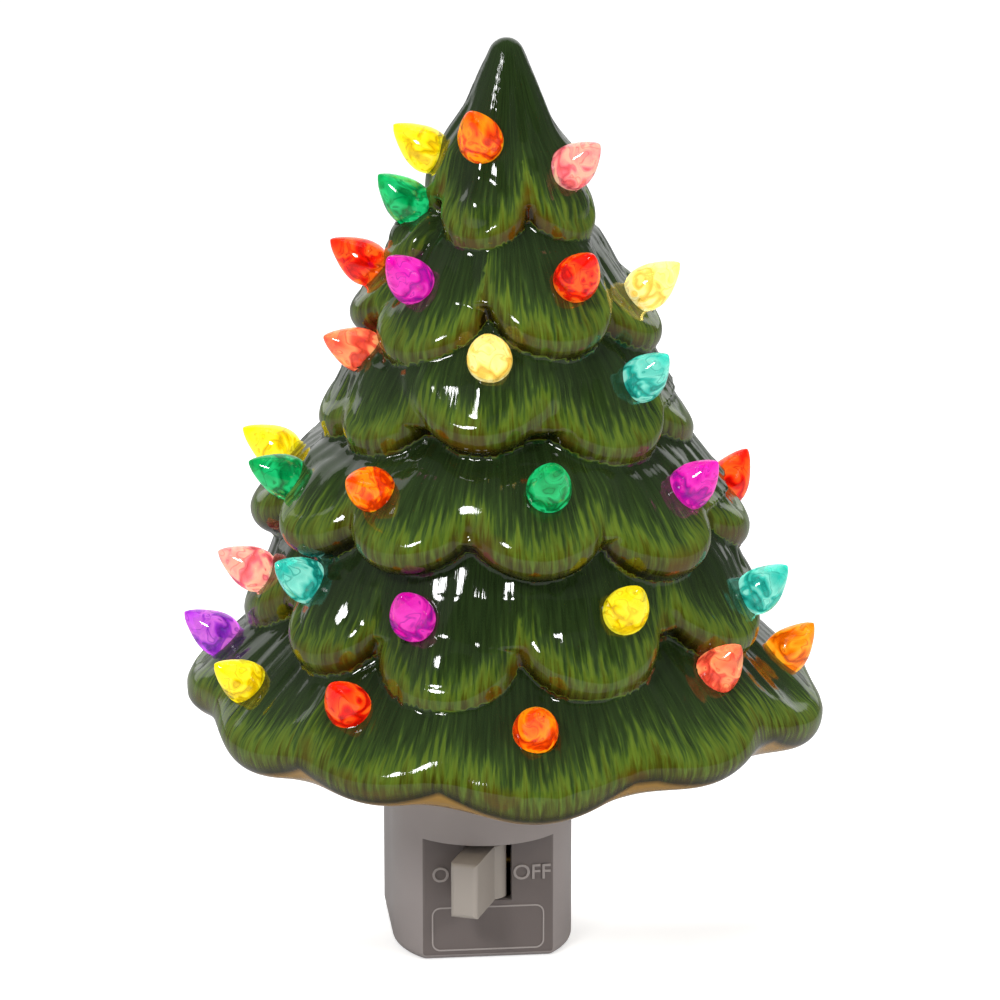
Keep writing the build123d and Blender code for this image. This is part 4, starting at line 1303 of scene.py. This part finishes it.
@dataclass
class Studio:
    """White floor and background, soft lamps and the camera. Millimetres and degrees.

    A card has its name, its place, how it stands, its width and length, and its brightness, where 1 is white. A
    lamp has its name, its place, the width of its face, its power in watts and whether the glaze mirrors it.
    """

    floor_z: float = -14.2
    floor_half: float = 6000.0
    paper: float = 0.82
    paper_mirrored: float = 0.34
    paper_lift: float = 0.45
    world_light: float = 0.55
    target: tuple[float, float, float] = (*TREE_AXIS, 90.0)
    azimuth: float = -6.0
    elevation: float = 15.0
    distance: float = 900.0
    lens: float = 180.8
    sensor: float = 36.0
    clip: tuple[float, float] = (10.0, 50000.0)
    left: float = 1.1
    down: float = 19.6
    cards: tuple[tuple[str, tuple[float, float, float], Stand, tuple[float, float], float], ...] = (
        ("front_card", (0, -1500, 650), Stand.FACING, (2600, 1500), 0.02),
        ("top_card", (0, -350, 1400), Stand.FLAT, (2600, 2300), 0.1),
        ("left_card", (-1300, -100, 650), Stand.SIDEWAYS, (1500, 2800), 0.2),
        ("right_card", (1300, -100, 650), Stand.SIDEWAYS, (1500, 2800), 0.12),
    )
    lamps: tuple[tuple[str, tuple[float, float, float], float, float, bool], ...] = (
        ("key_lamp", (-420, -620, 560), 190, 3.6, True),
        ("fill_lamp", (520, -560, 420), 240, 2.4, False),
        ("top_lamp", (0, 120, 800), 420, 5.0, False),
    )

    def build(self) -> None:
        """Builds the whole set."""
        self.world()
        self.floor()
        for card in self.cards:
            self.card(*card)
        for lamp in self.lamps:
            self.lamp(*lamp)
        self.camera()

    def any_ray(self, tree: bpy.types.NodeTree, first: str, *others: str) -> bpy.types.NodeSocket:
        """Adds a test for kinds of rays.

        Args:
            tree: Node tree that gets the test.
            first: The light path's output for one kind.
            others: Its outputs for the other kinds.

        Returns:
            Output that is 1 for rays of these kinds.
        """
        path = add(tree, "LightPath").outputs
        found = path[first]
        for kind in others:
            found = add(tree, "Math", [found, path[kind]], operation="MAXIMUM").outputs[0]
        return found

    def world(self) -> None:
        """Makes a white background that lights the object softly."""
        world = bpy.data.worlds.new("white_studio")
        world.use_nodes = True
        tree = world.node_tree
        tree.nodes.clear()
        light = add(tree, "Background", {"Color": WHITE, "Strength": self.world_light}).outputs[0]
        white = add(tree, "Background", {"Color": WHITE, "Strength": 1.0}).outputs[0]
        seen = self.any_ray(tree, "Is Camera Ray", "Is Glossy Ray", "Is Transmission Ray")
        both = add(tree, "MixShader", [seen, light, white])
        add(tree, "OutputWorld", {"Surface": both.outputs[0]})
        bpy.context.scene.world = world

    def floor(self) -> None:
        """Makes the white floor, which keeps the object's shadow and stays dimmer in the glaze."""
        shape = bmesh.new()
        bmesh.ops.create_grid(shape, x_segments=1, y_segments=1, size=self.floor_half * MM)
        bmesh.ops.translate(shape, vec=(0, 0, self.floor_z * MM), verts=shape.verts)
        material, tree = new_material("white_paper_sweep")
        mirrored = self.any_ray(tree, "Is Glossy Ray")
        tone = add(tree, "MapRange", [mirrored, 0.0, 1.0, self.paper, self.paper_mirrored]).outputs[0]
        paper = add(tree, "BsdfDiffuse", {"Color": tone}).outputs[0]
        lift = add(tree, "Emission", {"Color": WHITE, "Strength": self.paper_lift}).outputs[0]
        lifted = add(tree, "AddShader", [paper, lift]).outputs[0]
        direct = self.any_ray(tree, "Is Camera Ray", "Is Transmission Ray")
        show(tree, add(tree, "MixShader", [direct, paper, lifted]))
        piece_from(shape, "floor", [material])

    def card(
        self, name: str, place: tuple[float, float, float], stand: Stand, size: tuple[float, float], tone: float
    ) -> None:
        """Makes a grey card that only reflections see, so the glaze stays deep.

        Args:
            name: Name of the card.
            place: Its middle.
            stand: How it stands.
            size: Its width and length.
            tone: Its brightness, where 1 is white.
        """
        axis, turn = stand.value
        stood = Matrix.Translation(Vector(place) * MM) @ Matrix.Rotation(math.radians(turn), 4, axis)
        shape = bmesh.new()
        bmesh.ops.create_grid(shape, x_segments=1, y_segments=1, size=0.5)
        bmesh.ops.scale(shape, vec=(size[0] * MM, size[1] * MM, 1), verts=shape.verts)
        bmesh.ops.transform(shape, matrix=stood, verts=shape.verts)
        material, tree = new_material(name)
        show(tree, add(tree, "Emission", {"Color": WHITE, "Strength": tone}))
        card = piece_from(shape, name, [material])
        card.visible_camera = False
        card.visible_diffuse = False
        card.visible_shadow = False
        card.visible_transmission = False

    def lamp(self, name: str, place: tuple[float, float, float], size: float, watts: float, mirrored: bool) -> None:
        """Adds a round soft lamp that looks at the tree.

        Args:
            name: Name of the lamp.
            place: Where it stands.
            size: Width of its face.
            watts: Its power.
            mirrored: Whether the glaze mirrors its face.
        """
        light = bpy.data.lights.new(name, "AREA")
        light.shape = "DISK"
        light.size = size * MM
        light.energy = watts
        lamp = bpy.data.objects.new(name, light)
        lamp.visible_glossy = mirrored
        lamp.location = Vector(place) * MM
        aim = Vector(self.target) * MM - lamp.location
        lamp.rotation_euler = aim.to_track_quat("-Z", "Y").to_euler()
        bpy.context.scene.collection.objects.link(lamp)

    def camera(self) -> None:
        """Sets the camera at the photograph's angle."""
        around, above = math.radians(self.azimuth), math.radians(self.elevation)
        level = math.cos(above)
        back = Vector((math.sin(around) * level, -math.cos(around) * level, math.sin(above)))
        right = Vector((math.cos(around), math.sin(around), 0))
        eye = Vector(self.target) + back * self.distance
        aim = Vector(self.target) - right * self.left - back.cross(right) * self.down
        data = bpy.data.cameras.new("camera")
        data.lens = self.lens
        data.sensor_width = self.sensor
        data.clip_start, data.clip_end = (value * MM for value in self.clip)
        camera = bpy.data.objects.new("camera", data)
        camera.location = eye * MM
        camera.rotation_euler = (aim - eye).to_track_quat("-Z", "Y").to_euler()
        bpy.context.scene.collection.objects.link(camera)
        bpy.context.scene.camera = camera


def main() -> None:
    """Builds every piece in order."""
    logging.basicConfig(level=logging.INFO, format="%(message)s")
    bpy.ops.wm.read_factory_settings(use_empty=True)
    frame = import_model()
    bpy.context.scene.view_settings.view_transform = "Standard"
    Studio().build()
    TreeShade().build(frame)
    finishes = {tint: (TintedStyrene(tint).skin(), TintedStyrene(tint).core()) for tint in Tint}
    for number, node in enumerate(sorted(name for name in frame["nodes"] if name.startswith("light_"))):
        tint = Tint[node.split("_")[2].upper()]
        PegLight(node, tint, number).build(frame, *finishes[tint])
    Holder().build(frame)


if __name__ == "__main__":
    main()
